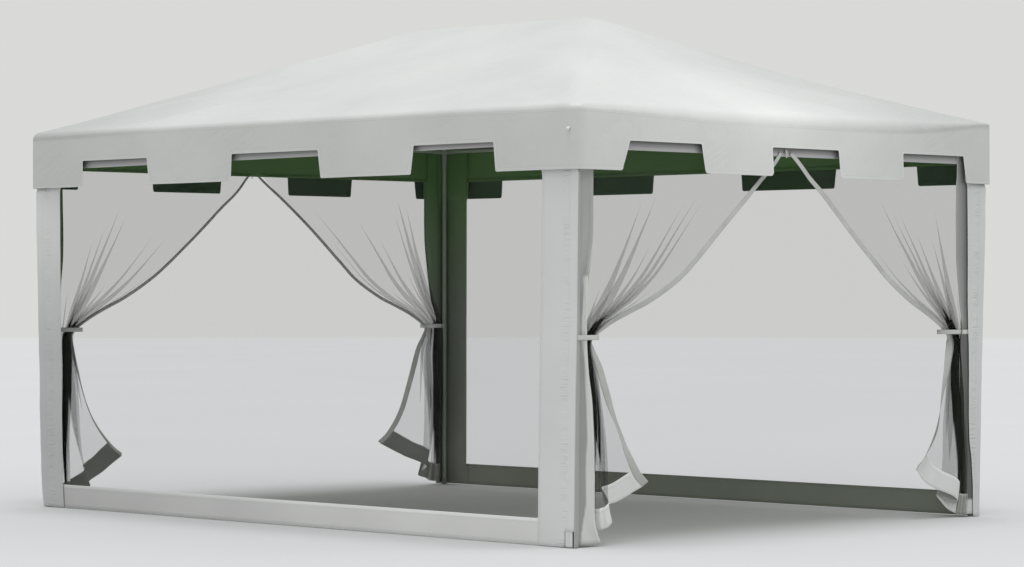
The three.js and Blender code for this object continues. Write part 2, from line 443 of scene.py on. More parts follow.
def below(tree, value, limit, softness):
    """1 where a value is below the limit, 0 above it."""
    return compute(tree, "DIVIDE", compute(tree, "SUBTRACT", limit, value), softness, clamp=True)


def stored(tree, attribute):
    """The sheet's stored distance to the nearest hem or seam, or its painted shade."""
    return add_node(tree, "ShaderNodeAttribute", attribute_name=attribute).outputs["Fac"]


def flat_place(tree):
    """Where a point lies in the flat cloth, in metres."""
    return add_node(tree, "ShaderNodeUVMap", uv_map="Cut").outputs["UV"]


def parts_of(tree, place):
    """The X, Y and Z of a place."""
    parts = add_node(tree, "ShaderNodeSeparateXYZ")
    tree.links.new(place, parts.inputs["Vector"])
    return parts.outputs


def patches(tree, size, detail=2.0, stretch=(1, 1, 1)):
    """Soft random patches of a size in metres, on the object's own coordinates."""
    place = add_node(tree, "ShaderNodeTexCoord")
    squeeze = add_node(tree, "ShaderNodeMapping", Scale=stretch)
    cloud = add_node(tree, "ShaderNodeTexNoise", Scale=1 / size, Detail=detail)
    tree.links.new(place.outputs["Object"], squeeze.inputs["Vector"])
    tree.links.new(squeeze.outputs["Vector"], cloud.inputs["Vector"])
    return cloud.outputs["Fac"]


def two_tone(tree, share, low, high, dark, light):
    """A colour between dark and light as share goes from low to high."""
    ramp = add_node(tree, "ShaderNodeValToRGB")
    ramp.color_ramp.elements[0].position = low
    ramp.color_ramp.elements[0].color = (*dark, 1)
    ramp.color_ramp.elements[1].position = high
    ramp.color_ramp.elements[1].color = (*light, 1)
    tree.links.new(share, ramp.inputs["Fac"])
    return ramp.outputs["Color"]


def mottled(tree, size, detail, dark, light):
    """A colour that wanders between dark and light, in soft patches of a size in metres."""
    return two_tone(tree, patches(tree, size, detail), 0.3, 0.7, dark, light)


def tint(tree, colour, share, tone):
    """Moves a colour towards a tone, by a share of 0 to 1."""
    mix = add_node(tree, "ShaderNodeMix", data_type="RGBA")
    tree.links.new(share, mix.inputs["Factor"])
    tree.links.new(colour, mix.inputs["A"])
    mix.inputs["B"].default_value = (*tone, 1)
    return mix.outputs["Result"]


def woven_height(tree, flat, pitch):
    """The height of a plain weave of flat tapes with the given pitch."""
    heights = []
    for direction in ("X", "Y"):
        tapes = add_node(tree, "ShaderNodeTexWave", Scale=math.tau / 20 / pitch, bands_direction=direction)
        tree.links.new(flat, tapes.inputs["Vector"])
        heights.append(tapes.outputs["Fac"])
    return compute(tree, "MULTIPLY", *heights)


def bump(tree, shader, *layers):
    """Adds up bumps of (height, distance in metres, strength) on the shader's normal."""
    normal = None
    for height, distance, strength in layers:
        layer = add_node(tree, "ShaderNodeBump", Distance=distance, Strength=strength)
        tree.links.new(height, layer.inputs["Height"])
        if normal:
            tree.links.new(normal, layer.inputs["Normal"])
        normal = layer.outputs["Normal"]
    tree.links.new(normal, shader.inputs["Normal"])


def stitches(tree, distance, line, across, up):
    """A row of stitches at a distance from an edge."""
    run = compute(tree, "MULTIPLY", compute(tree, "ADD", across, up), math.tau / STITCH_LENGTH)
    dash = compute(tree, "GREATER_THAN", compute(tree, "SINE", run), -0.4)
    return compute(tree, "MULTIPLY", near(tree, distance, line, STITCH_WIDTH), dash)


def with_painted_shade(tree, colour):
    """A colour, darkened by the painted shade that the sheet has stored."""
    scaled = add_node(tree, "ShaderNodeVectorMath", operation="SCALE")
    tree.links.new(colour, scaled.inputs["Vector"])
    tree.links.new(stored(tree, "PaintedShade"), scaled.inputs["Scale"])
    return scaled.outputs["Vector"]


def painted_bounce_towards_roof(tree, colour, upper):
    """Painted light: a colour that turns, from 1 m up to the roof, into another one, which stands for the
    green light bounced under the roof.
    """
    place = add_node(tree, "ShaderNodeTexCoord").outputs["Object"]
    raised = compute(tree, "SUBTRACT", parts_of(tree, place)["Z"], 1.0)
    return tint(tree, colour, compute(tree, "MULTIPLY", raised, 1.3, clamp=True), upper)


def woven_cloth(name, dark, light, roughness, specular, creases, upper=None):
    """Coated cloth woven of flat tapes, with hems, flat seams and their stitches. creases lists the
    bumps of its creases as (size in metres, detail, stretch, distance, strength). With a colour for
    the upper part it is the inner face, which turns to that colour under the roof as painted light, the
    green light bounced there. Otherwise the colour takes the sheet's painted shade."""
    material, tree, shader = new_material(name, roughness, specular)
    flat = flat_place(tree)
    parts = parts_of(tree, flat)
    hem = stored(tree, "Hem")
    seam = stored(tree, "Seam")
    doubled = below(tree, hem, HEM_WIDTH, 0.001)
    folded = compute(tree, "MULTIPLY", below(tree, hem, 0.004, 0.002), 0.7)
    rows = stitches(tree, hem, HEM_STITCHES, parts["X"], parts["Y"])
    seam_rows = stitches(tree, seam, SEAM_STITCHES, parts["X"], parts["Y"])
    rows = compute(tree, "ADD", rows, seam_rows, clamp=True)
    bright = tuple(value * 1.16 for value in light)
    shade = tuple(value * 0.72 for value in dark)
    colour = mottled(tree, 0.7, 3.0, dark, light)
    colour = tint(tree, colour, compute(tree, "MULTIPLY", doubled, 0.12), bright)
    colour = tint(tree, colour, folded, bright)
    colour = tint(tree, colour, rows, shade)
    colour = painted_bounce_towards_roof(tree, colour, upper) if upper else with_painted_shade(tree, colour)
    tree.links.new(colour, shader.inputs["Base Color"])
    layers = [
        (woven_height(tree, flat, 0.0025), 0.0002, 0.35),
        (doubled, 0.0012, 0.7),
        (below(tree, seam, 0.008, 0.002), 0.0004, 0.2),
        (rows, 0.0006, -0.8),
    ]
    for size, detail, stretch, distance, strength in creases:
        cloud = patches(tree, size, detail, stretch)
        ridge = compute(tree, "ABSOLUTE", compute(tree, "SUBTRACT", cloud, 0.5))
        layers.append((ridge, distance, strength))
    return material, tree, shader, layers


def plain_cloth(*cloth):
    """Woven cloth with no marks of its own."""
    material, tree, shader, layers = woven_cloth(*cloth)
    bump(tree, shader, *layers)
    return material


def streaks(tree, flat, slope, width, length):
    """Long thin wrinkles in the cloth, at a slope in degrees to its upright threads."""
    drawn = add_node(tree, "ShaderNodeMapping", vector_type="TEXTURE", Scale=(width, length, 1))
    drawn.inputs["Rotation"].default_value = (0, 0, math.radians(slope))
    cloud = add_node(tree, "ShaderNodeTexNoise", Scale=1, Detail=2)
    tree.links.new(flat, drawn.inputs["Vector"])
    tree.links.new(drawn.outputs["Vector"], cloud.inputs["Vector"])
    return cloud.outputs["Fac"]


def cover_outside():
    creases = [(0.45, 3.0, (1, 1, 1), 0.03, 0.6), (0.14, 2.0, (1, 2.5, 1), 0.008, 0.5)]
    cloth = woven_cloth("cover_white", (0.575, 0.589, 0.575), (0.64, 0.65, 0.636), 0.42, 0.35, creases)
    material, tree, shader, layers = cloth
    flat = flat_place(tree)
    here = below(tree, patches(tree, 0.5, 2.0), 0.5, 0.12)
    leaning = compute(tree, "MULTIPLY", streaks(tree, flat, 28, 0.012, 0.14), here)
    there = below(tree, patches(tree, 0.7, 2.0), 0.46, 0.1)
    falling = compute(tree, "MULTIPLY", streaks(tree, flat, -62, 0.02, 0.3), there)
    bump(tree, shader, *layers, (leaning, 0.004, 0.4), (falling, 0.007, 0.4))
    return material


# Painted shade and light: the inner face's dark green stands for the shade under the roof and the green light
# bounced into it
def cover_inside():
    return plain_cloth("cover_inside_painted_shade", (0.036, 0.085, 0.032), (0.052, 0.115, 0.044), 0.55, 0.4, [])


def border_outside():
    creases = [(0.1, 3.0, (1, 1, 0.6), 0.006, 0.3)]
    return plain_cloth("border_white", (0.7, 0.705, 0.7), (0.78, 0.785, 0.775), 0.5, 0.4, creases)


# Painted shade: the inner faces of the white cloth are coloured dark, as they lie in the shade inside the
# walls
def border_inside_painted_shade(name, dark, light, upper):
    creases = [(0.15, 3.0, (1, 1, 0.5), 0.006, 0.3)]
    return plain_cloth(name, dark, light, 0.6, 0.4, creases, upper)


def sleeve_outside():
    """The sleeves' cloth puckers along its upright seams."""
    creases = [(0.16, 3.0, (1, 1, 0.4), 0.006, 0.25)]
    cloth = woven_cloth("sleeve_white", (0.665, 0.675, 0.675), (0.735, 0.745, 0.745), 0.48, 0.4, creases)
    material, tree, shader, layers = cloth
    across = parts_of(tree, flat_place(tree))["X"]
    ripple = patches(tree, 0.009, 1.0, (0.1, 0.1, 1))
    seams = compute(tree, "ADD", near(tree, across, -0.068, 0.034), near(tree, across, 0.09, 0.035))
    here = below(tree, patches(tree, 0.12, 2.0, (0.3, 0.3, 1)), 0.6, 0.15)
    pucker = compute(tree, "MULTIPLY", compute(tree, "MULTIPLY", ripple, seams), here)
    band = below(tree, compute(tree, "ABSOLUTE", across), 0.054, 0.001)
    bump(tree, shader, *layers, (pucker, 0.009, 1), (band, 0.0015, 0.9))
    return material


def curtain_edging():
    creases = [(0.06, 3.0, (1, 1, 0.4), 0.005, 0.35)]
    return plain_cloth("curtain_edging", (0.6, 0.61, 0.595), (0.68, 0.69, 0.675), 0.5, 0.4, creases)


def net(name, alpha):
    """Fine knitted netting. Its open share is the material's alpha."""
    material, tree, shader = new_material(name, 0.8, 0.3)
    threads = woven_height(tree, flat_place(tree), 0.0018)
    colour = two_tone(tree, threads, 0.1, 0.6, (0.018, 0.02, 0.017), (0.05, 0.055, 0.047))
    tree.links.new(colour, shader.inputs["Base Color"])
    bump(tree, shader, (threads, 0.0002, 0.4))
    shader.inputs["Alpha"].default_value = alpha
    return material


def woven_tape(name, dark, light, ridge):
    """Narrow woven tape with fine ridges across it. The hollows between them are painted darker, a painted
    shade.
    """
    material, tree, shader = new_material(name, 0.65, 0.3)
    colour = mottled(tree, 0.08, 3.0, dark, light)
    ribs = woven_height(tree, flat_place(tree), ridge)
    # Painted shade in the hollows between the ridges
    deep = tuple(value * 0.75 for value in dark)
    colour = tint(tree, colour, compute(tree, "MULTIPLY", below(tree, ribs, 0.25, 0.2), 0.4), deep)
    tree.links.new(colour, shader.inputs["Base Color"])
    bump(tree, shader, (ribs, 0.0004, 0.7))
    return material


def powder_coat():
    material, tree, shader = new_material("powder_coated_steel", 0.38)
    colour = mottled(tree, 0.25, 3.0, (0.31, 0.37, 0.28), (0.37, 0.43, 0.34))
    scuffs = below(tree, patches(tree, 0.03, 6.0, (1, 1, 0.3)), 0.3, 0.03)
    colour = tint(tree, colour, compute(tree, "MULTIPLY", scuffs, 0.5), (0.22, 0.25, 0.2))
    tree.links.new(colour, shader.inputs["Base Color"])
    bump(tree, shader, (patches(tree, 0.0015, 2.0), 0.0001, 0.5))
    return material


def plain_plastic(name, dark, light):
    material, tree, shader = new_material(name, 0.45)
    colour = mottled(tree, 0.02, 4.0, dark, light)
    tree.links.new(colour, shader.inputs["Base Color"])
    bump(tree, shader, (patches(tree, 0.0008, 2.0), 0.00005, 0.5))
    return material


def bare_metal():
    material, tree, shader = new_material("nickel_plate", 0.3)
    shader.inputs["Metallic"].default_value = 1.0
    colour = mottled(tree, 0.004, 4.0, (0.55, 0.55, 0.53), (0.72, 0.72, 0.7))
    tree.links.new(colour, shader.inputs["Base Color"])
    bump(tree, shader, (patches(tree, 0.001, 3.0), 0.0001, 0.3))
    return material


COVER_WHITE = cover_outside()
COVER_INSIDE_SHADE = cover_inside()
BORDER_WHITE = border_outside()
# The inner faces: painted shade, with a painted green bounce of light towards the roof on the borders
BORDER_INSIDE_SHADE = border_inside_painted_shade("border_inside_painted_shade", (0.2, 0.225, 0.185), (0.26, 0.285, 0.24), (0.11, 0.235, 0.07))
HEM_INSIDE_SHADE = border_inside_painted_shade("hem_inside_painted_shade", (0.34, 0.35, 0.33), (0.4, 0.41, 0.39), (0.34, 0.35, 0.33))
SLEEVE_WHITE = sleeve_outside()
CURTAIN_EDGING = curtain_edging()
PANEL_NET = net("panel_net", 0.14)
CURTAIN_NET = net("curtain_net", 0.19)
STRAP_TAPE = woven_tape("strap_tape", (0.55, 0.56, 0.54), (0.68, 0.69, 0.66), 0.0022)
ZIP_TAPE = woven_tape("zip_tape", (0.5, 0.51, 0.49), (0.6, 0.61, 0.585), 0.0015)
POWDER_COAT = powder_coat()
GREY_PLASTIC = plain_plastic("grey_plastic", (0.2, 0.2, 0.2), (0.26, 0.26, 0.26))
WHITE_PLASTIC = plain_plastic("white_plastic", (0.62, 0.63, 0.61), (0.75, 0.76, 0.74))
NICKEL = bare_metal()


# Cover

# Stations lie at most about this far apart. They are closer beside the straight part's ends, round the
# corners' arcs, in degrees, and in the round corners of notches and tabs, as shares of their radius.
STATION_STEP = 0.03
END_STEPS = (0.008, 0.02, 0.038)
ARC_STEPS = (9, 18, 27, 36, 45)
CORNER_SHARES = (0, 0.08, 0.25, 0.55, 1)


def notch_edges(side):
    """Half of the centre notch, and where the outer notches begin and end, before any shift."""
    inner = side["notches"]["centre"] / 2
    far = inner + side["notches"]["tab"]
    return inner, far, far + side["notches"]["outer"]


def in_notch(side, place):
    inner, far, end = notch_edges(side)
    return abs(place) < inner or far < abs(place) < end


def cover_stations(name):
    """Places along a side, before any shift, closer together at the notches' edges and the corners.
    Each has the angle that the corner's rounding has reached there."""
    side = SIDES[name]
    left_radius, right_radius = at_ends(name, "edge")
    left = left_radius - side["half"]
    right = side["half"] - right_radius
    inner, far, end = notch_edges(side)
    places = {left, right}
    for edge, to_tab in ((inner, 1), (far, -1), (end, 1)):
        for share in CORNER_SHARES:
            for place in (edge + to_tab * side["tab_corner"] * share, edge - to_tab * NOTCH_CORNER * share):
                places |= {place, -place}
    for step in END_STEPS:
        places |= {left + step, right - step}
    ordered = sorted(places)
    stations = [(ordered[0], 0.0)]
    for place in ordered[1:]:
        start = stations[-1][0]
        steps = max(math.ceil((place - start) / STATION_STEP - 0.2), 1)
        for i in range(1, steps + 1):
            stations.append((blend(start, place, i / steps), 0.0))
    for swing in ARC_STEPS:
        angle = math.radians(swing)
        stations.append((right + right_radius * math.sin(angle), angle))
        stations.insert(0, (left - left_radius * math.sin(angle), -angle))
    return stations


STATIONS = {name: cover_stations(name) for name in SIDES}

# Folds in the roof, as their start and end in plan, their rise and their width
DRAWN_FOLDS = [
    ((-1.75, -1.42), (-0.75, -0.85), 0.02, 0.06),
    ((-1.45, -1.45), (-0.35, -0.75), -0.018, 0.06),
    ((-1.15, -1.45), (0.05, -0.7), 0.014, 0.07),
    ((0.5, -1.44), (1.4, -0.95), 0.007, 0.06),
    ((1.9, 1.1), (1.35, 0.15), 0.012, 0.045),
    ((1.9, 0.85), (1.45, 0.0), -0.012, 0.045),
    ((1.92, 0.55), (1.4, -0.35), 0.011, 0.05),
    ((-1.9, -1.0), (-1.3, -0.1), 0.009, 0.06),
    ((-1.1, 1.44), (-0.1, 0.7), 0.01, 0.06),
    ((1.6, 1.43), (0.7, 0.8), 0.01, 0.06),
]

# Rows of the cover from the hem to the ridge: the part, and how far up it the row lies
TAB_ROWS = [("tab", share) for share in (0, 0.03, 0.07, 0.13, 0.16, 0.4, 0.65, 0.85)]
VALANCE_ROWS = [("valance", share) for share in (0, 0.03, 0.07, 0.14, 0.18, 0.4, 0.65, 0.85)]
EAVE_ROWS = [("eave", share / 6) for share in range(7)]
ROOF_STEPS = 40
# The roof starts one step up, because the eave's rows end where it begins
ROOF_ROWS = [("roof", share / ROOF_STEPS) for share in range(1, ROOF_STEPS)]
CREST_ROWS = [("roof", share) for share in (0.982, 0.99, 0.996, 1)]
COVER_ROWS = TAB_ROWS + VALANCE_ROWS + EAVE_ROWS + ROOF_ROWS + CREST_ROWS
# The angle that the cover turns through on its way over the eave
EAVE_TURN = math.pi / 2 - math.atan2(RIDGE_HEIGHT - EAVE_HEIGHT, HALF_WIDTH)


def from_edge(side, place):
    """How far a place lies from the nearest notch edge. It is negative in a notch."""
    distance = min(abs(abs(place) - edge) for edge in notch_edges(side))
    return -distance if in_notch(side, place) else distance


def rounding(distance, radius):
    """How far a rounded corner cuts in, at a distance from its straight edge."""
    if distance >= radius:
        return 0
    return radius - math.sqrt(radius**2 - (radius - distance) ** 2)


def notch_line(side, place):
    """The top of the notches, which curves down at each end of one."""
    return NOTCH_HEIGHT - rounding(abs(from_edge(side, place)), NOTCH_CORNER)


def tab_line(side, place):
    """The bottom of the tabs, with round corners. The tabs at the gazebo's corners run on round them."""
    return TAB_HEIGHT + rounding(max(from_edge(side, place), 0), side["tab_corner"])


def to_corner(name, place, reach):
    """1 at the gazebo's corners, down to 0 at a distance from them."""
    return 1 - ease((SIDES[name]["half"] - abs(place) - 0.03) / reach)


def eave_radius(name, place):
    middle = EAVE_RADIUS_RIGHT if name == "right" else EAVE_RADIUS
    return blend(middle, at_ends(name, "eave")[place > 0], to_corner(name, place, 0.9))


def eave_bottom(name, place):
    """The height where the valance begins to turn over into the roof."""
    return EAVE_HEIGHT + back_right_lift(name, place) - eave_radius(name, place) * math.tan(EAVE_TURN / 2)


def back_right_lift(name, place):
    """The cover stands a little higher over the back right corner."""
    if SIDES[name]["corners"][place > 0] != "back_right":
        return 0
    return BACK_RIGHT_LIFT * to_corner(name, place, 0.7) ** 2


def cover_shift(name, place):
    """The notches sit a little off the side's centre, and the cloth evens out towards the corners."""
    side = SIDES[name]
    end = notch_edges(side)[2] + 0.02
    corner = side["half"] - at_ends(name, "edge")[place > 0]
    return side["shift"] * (1 - ease((abs(place) - end) / (corner - end)))


def slant(name, place):
    """How far the cloth at a place runs to the right on its way from the notches down to the hem."""
    side = SIDES[name]
    inner, far, end = notch_edges(side)
    stations = STATIONS[name]
    points = [(stations[0][0], 0), *zip((-end, -far, -inner, inner, far, end), side["slants"])]
    return between([*points, (stations[-1][0], 0)], place)


def soft_least(heights, softness):
    """The least of some heights, with a soft change from one to the next."""
    total = sum(math.exp(-(height - min(heights)) / softness) for height in heights)
    return min(heights) - softness * math.log(total)


def roof_height(x, y):
    """The roof's four planes, with creases along the hips and the ridge that get softer upwards. The
    near hip's crease is the softest."""
    rise = RIDGE_HEIGHT + CREST_SOFTNESS[1] * math.log(2) - EAVE_HEIGHT
    end_run = HALF_LENGTH - RIDGE_HALF
    shares = [
        (HALF_WIDTH + y) / HALF_WIDTH,
        (HALF_WIDTH - y) / HALF_WIDTH,
        (HALF_LENGTH + x) / end_run,
        (HALF_LENGTH - x) / end_run,
    ]
    softness = blend(*CREST_SOFTNESS, ease(min(shares) / 0.12))
    near_hip = ease((x - 0.6) / 0.35) * ease((-0.03 - y) / 0.35)
    softness += NEAR_HIP_SOFTNESS * near_hip * ease((min(shares) - 0.08) / 0.2)
    return soft_least([EAVE_HEIGHT + rise * share for share in shares], softness)


def roof_sag(name, across, share):
    """How far the roof hangs down, at a place across a panel and a share of the way up it."""
    left, right = at_ends(name, "hip_sag")
    hip = blend(left, right, (across + 1) / 2)
    panel = SIDES[name]["sag"] * (1 - across**2)
    return (hip + panel) * math.sin(math.pi * share) ** 1.3


def corner_folds(point):
    """Shallow folds in the roof that run out from the corners, where the cover is held down."""
    height = 0
    for corner in CORNERS.values():
        x_end, y_end = corner["ends"]
        x = HALF_LENGTH - x_end * point.x
        y = HALF_WIDTH - y_end * point.y
        reach = math.hypot(x, y)
        fold = noise.noise(Vector((math.atan2(y, x) * 7, reach * 0.9, 11.7 * corner["seed"] + 3.1)))
        height += 0.007 * fold * ease(reach / 0.35) * ease((1.7 - reach) / 1.2)
    return height


def roof_ripples(point, share):
    """Slow swellings and small creases of the roof's cloth, and the band round the near corner where
    it lies full over the rafters."""
    slow = 0.006 * wander(point, 0.5, 1)
    small = 0.0028 * wander(point, 0.16, 2)
    near_corner = ease(1.25 - math.hypot(HALF_LENGTH - point.x, HALF_WIDTH + point.y) / 2.0)
    band = 0.027 * hump(share - 0.5, 0.11) - 0.018 * hump(share - 0.22, 0.13)
    return slow + small + near_corner * band + corner_folds(point) + drawn_folds(point)


def drawn_folds(point):
    """The folds that the pull between the eaves and the hips has drawn into the roof."""
    height = 0
    for start, end, rise, width in DRAWN_FOLDS:
        along = Vector(end) - Vector(start)
        offset = Vector((point.x, point.y)) - Vector(start)
        share = offset.dot(along) / along.length_squared
        aside = along.cross(offset) / along.length
        height += rise * hump(aside, width) * ease(share / 0.25) * ease((1 - share) / 0.4)
    return height


def valance_flutter(point, drop, corner):
    """How far the valance stands out, more and more towards its hem. At the corners it lies on the
    sleeves, and only stands out."""
    wave = 0.009 * wander(point, 0.7, 3) + 0.006 * wander(point, 0.2, 4)
    return ease(drop / 0.28) * blend(wave, 0.4 * abs(wave), corner)


def rounded_in(name, station):
    """How far the cover's round corner has turned inwards at a station."""
    place, swing = station
    return at_ends(name, "edge")[place > 0] * (1 - math.cos(swing))


def valance_point(name, station, part):
    """A point of the valance. Its tabs slant as their edges do."""
    side = SIDES[name]
    place, swing = station
    kind, share = part
    shift = cover_shift(name, place)
    notch = notch_line(side, place)
    bottom = eave_bottom(name, place)
    if kind == "tab":
        height = blend(tab_line(side, place), notch, share)
        shift += slant(name, place) * (1 - share)
    else:
        height = blend(notch, bottom, share)
    point = on_side(side, place + shift, rounded_in(name, station), height)
    stand_out = valance_flutter(point, bottom - height, to_corner(name, place, 0.3))
    return point + outward(side, swing) * stand_out


def roof_point(name, station, part):
    """A point of the roof, on its way over the round eave and up to the ridge."""
    side = SIDES[name]
    place = station[0]
    kind, share = part
    radius = eave_radius(name, place)
    angle = EAVE_TURN * share if kind == "eave" else EAVE_TURN
    inward = radius * (1 - math.cos(angle)) / HALF_WIDTH
    if kind == "roof":
        inward = blend(inward, 1, share)
    across = place / abs(STATIONS[name][-1 if place > 0 else 0][0])
    if side["half"] == HALF_LENGTH:
        ridge = on_side(side, across * RIDGE_HALF, side["reach"], 0)
    else:
        ridge = on_side(side, 0, HALF_LENGTH - RIDGE_HALF, 0)
    edge = on_side(side, place + cover_shift(name, place), rounded_in(name, station), 0)
    point = edge.lerp(ridge, inward)
    top = roof_height(point.x, point.y) + back_right_lift(name, place) * (1 - ease(inward / 0.5))
    over_eave = eave_bottom(name, place) + radius * math.sin(angle)
    point.z = min(over_eave, top) if kind == "eave" else top
    swell = ease(inward / 0.06) * ease((1 - inward) / 0.05 + 0.3) * ease((1 - abs(across)) / 0.12)
    point.z += swell * roof_ripples(point, inward) - roof_sag(name, across, inward)
    return point


def in_valance(part):
    return part[0] in ("tab", "valance")


def cover_point(name, station, part):
    return valance_point(name, station, part) if in_valance(part) else roof_point(name, station, part)


def roof_cut(name, station, part):
    """Where a vertex lies in the flat cloth of its own side: along it, and up from the tabs' hem."""
    point = cover_point(name, station, part)
    side = SIDES[name]
    along = point.dot(outward(side, math.pi / 2))
    run = side["reach"] - point.dot(outward(side))
    if in_valance(part):
        return along, max(point.z - TAB_HEIGHT, 0)
    return along, EAVE_HEIGHT - TAB_HEIGHT + math.hypot(run, point.z - EAVE_HEIGHT)


def cover_hem(name, station, part):
    """The distance from the nearest hem, at the notches and the tabs."""
    side = SIDES[name]
    place = station[0]
    kind, share = part
    notch = notch_line(side, place)
    if kind == "tab":
        return min(max(from_edge(side, place), 0), (notch - tab_line(side, place)) * share)
    if kind == "valance":
        rise = (eave_bottom(name, place) - notch) * share
        return rise if in_notch(side, place) else math.hypot(from_edge(side, place), rise)
    return FAR


def cover_seam(name, station, part):
    """The distance from the nearest seam: the ridge, and where the valance is sewn on."""
    side = SIDES[name]
    place = station[0]
    kind, share = part
    if kind == "tab":
        return FAR
    bottom = eave_bottom(name, place)
    if kind == "valance":
        return (bottom - notch_line(side, place)) * (1 - share)
    to_valance = eave_radius(name, place) * EAVE_TURN * (share if kind == "eave" else 1)
    if kind == "eave":
        return to_valance
    to_ridge = SLOPE_LENGTH * (1 - share) if side["half"] == HALF_LENGTH else FAR
    return min(to_valance + SLOPE_LENGTH * share, to_ridge)


def cover_painted_shade(name, station, part):
    """Painted shade: the cloth is darkened towards the front's left end and the right side's back end, where
    the light falls off.
    """
    point = cover_point(name, station, part)
    left = ease((-0.6 - point.x) / 1.4)
    back = ease((point.y + 0.35) / 1.5)
    if in_valance(part):
        return 1 - 0.06 * max(left, back)
    return 1 - max(0.22 * left, 0.2 * back)


def on_panel(name, value):
    """A value of one side of the cover, for the columns and rows of its grid."""
    stations = STATIONS[name]
    return lambda column, row: value(name, stations[column], COVER_ROWS[row])


def open_notches(panel, name):
    """Takes out the faces below the notch line between two tabs."""
    stations = STATIONS[name]

    def is_open(column, row):
        middle = (stations[column][0] + stations[column + 1][0]) / 2
        return row < len(TAB_ROWS) and in_notch(SIDES[name], middle)

    take_out(panel, len(stations) - 1, is_open)


def make_cover():
    panels = []
    kinds = (cover_point, roof_cut, cover_hem, cover_seam, cover_painted_shade)
    for name in SIDES:
        values = [on_panel(name, kind) for kind in kinds]
        panel = make_sheet(f"cover_{name}", len(STATIONS[name]) - 1, len(COVER_ROWS) - 1, *values)
        open_notches(panel, name)
        panels.append(panel)
    cover = joined("cover", panels)
    bpy.ops.object.mode_set(mode="EDIT")
    bpy.ops.mesh.select_all(action="SELECT")
    bpy.ops.mesh.remove_doubles(threshold=1e-5)
    bpy.ops.mesh.dissolve_degenerate(threshold=1e-6)
    bpy.ops.object.mode_set(mode="OBJECT")
    nodes = [f"{part}_{name}" for part in ("roof_panel", "valance") for name in SIDES]
    finish_cloth(cover, COVER_WHITE, COVER_INSIDE_SHADE, COVER_THICKNESS, "cover_fabric", *nodes)


# Walls

HEADER_COLUMNS = 90
HEADER_ROWS = 20
NET_COLUMNS = 90
NET_ROWS = 40
HEM_COLUMNS = 120
# How many columns from the left end the hems' painted shade takes to fade out
SHADED_HEM_COLUMNS = 95
# Where the long sides' walls start on the left. Elsewhere they end with the CAD's header bands.
WALL_STARTS = {"front": -1.83, "back": -1.875}
# Where a header's lower edge starts on the left, and how far it rises to the right
HEADER_EDGES = {"front": (1.77, 0.018), "right": (1.767, 0.003)}


def wall_strip(
    name, side, ends, heights, inset, seed, columns, rows, tone=None, rise=0, billow=WALL_BILLOW
):
    """A flat piece of a wall that hangs a little wavy. It follows the lean of the posts. Its lower
    edge may rise towards its right end."""

    def place(column, row):
        along = blend(*ends, column / columns)
        low = heights[0] + rise * column / columns
        point = on_side(side, along, inset, blend(low, heights[1], row / rows))
        edge = min(column, columns - column) / columns
        wave = wander(point, 0.6, seed) + 0.4 * wander(point, 0.2, seed + 1)
        return lean(point + outward(side) * billow * wave * ease(edge * 12))

    def cut(column, row):
        return blend(*ends, column / columns), blend(*heights, row / rows)

    return make_sheet(name, columns, rows, place, cut, tone=tone)


def header_painted_shade(column, row):
    """Painted shade: the header is darkened all over, as it lies in the valance's shade, and darker still
    towards its top.
    """
    height = blend(HEADER_BOTTOM, HEADER_TOP, row / HEADER_ROWS)
    return blend(0.56, 0.27, ease((height - 1.788) / 0.025))


def hem_painted_shade(column, row):
    """Painted shade: the front and back hems are darkened towards their left ends, where the light falls off.
    """
    return blend(0.68, 1, min(1, column / SHADED_HEM_COLUMNS) ** 0.8)


def make_header(name, side, ends):
    """The white band over the netting and the entrances. It shows in the valance's notches."""
    low, rise = HEADER_EDGES.get(name, (HEADER_BOTTOM, 0))
    heights = (low, HEADER_TOP)
    grid = (HEADER_COLUMNS, HEADER_ROWS)
    band = wall_strip(f"wall_header_{name}", side, ends, heights, WALL_INSET, 11, *grid, header_painted_shade, rise)
    finish_cloth(band, BORDER_WHITE, BORDER_INSIDE_SHADE, CLOTH_THICKNESS, "wall_border", f"header_band_{name}")


def make_bottom_border(name, side, ends):
    heights = (HEM_CLEARANCE, BORDER_HEIGHT)
    border = wall_strip(f"wall_hem_{name}", side, ends, heights, WALL_INSET, 12, HEM_COLUMNS, 6, hem_painted_shade)
    finish_cloth(border, BORDER_WHITE, BORDER_INSIDE_SHADE, CLOTH_THICKNESS, "wall_border", f"bottom_border_{name}")


def make_netting_panel(name, side, ends):
    heights = (BORDER_HEIGHT - OVERLAP, HEADER_BOTTOM + 2 * OVERLAP)
    panel = wall_strip(f"wall_net_{name}", side, ends, heights, NET_INSET, 13, NET_COLUMNS, NET_ROWS)
    finish(panel, PANEL_NET, "netting", f"netting_panel_{name}")


def make_walls():
    """Each side has a header, and the long sides have netting with a border below it."""
    for name, side in SIDES.items():
        along = outward(side, math.pi / 2)
        ends = sorted(corner.dot(along) for corner in map(Vector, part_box(f"header_band_{name}")))
        ends[0] = WALL_STARTS.get(name, ends[0])
        make_header(name, side, ends)
        if side["half"] == HALF_LENGTH:
            make_bottom_border(name, side, ends)
            make_netting_panel(name, side, ends)


# Sleeves round the posts

SLEEVE_HALF_COLUMNS = 22
SLEEVE_ROWS = 110
SLEEVE_WAVE = 0.0035
# Painted shade that darkens the back sleeves all over
SLEEVE_SHADES = {"back_right": 0.9, "back_left": 0.95}
# The part of the near sleeve's foot that is cut away, in rows from the hem and columns from the fold
FOOT_CUT_ROWS = 4
FOOT_CUT_COLUMNS = range(-10, -1)
# The loose end of the near sleeve's facing: its ends along the front, its heights and its inset
FACING_ENDS = (1.9135, 1.957)
FACING_HEIGHTS = (0.003, 0.099)
FACING_INSET = 0.0205


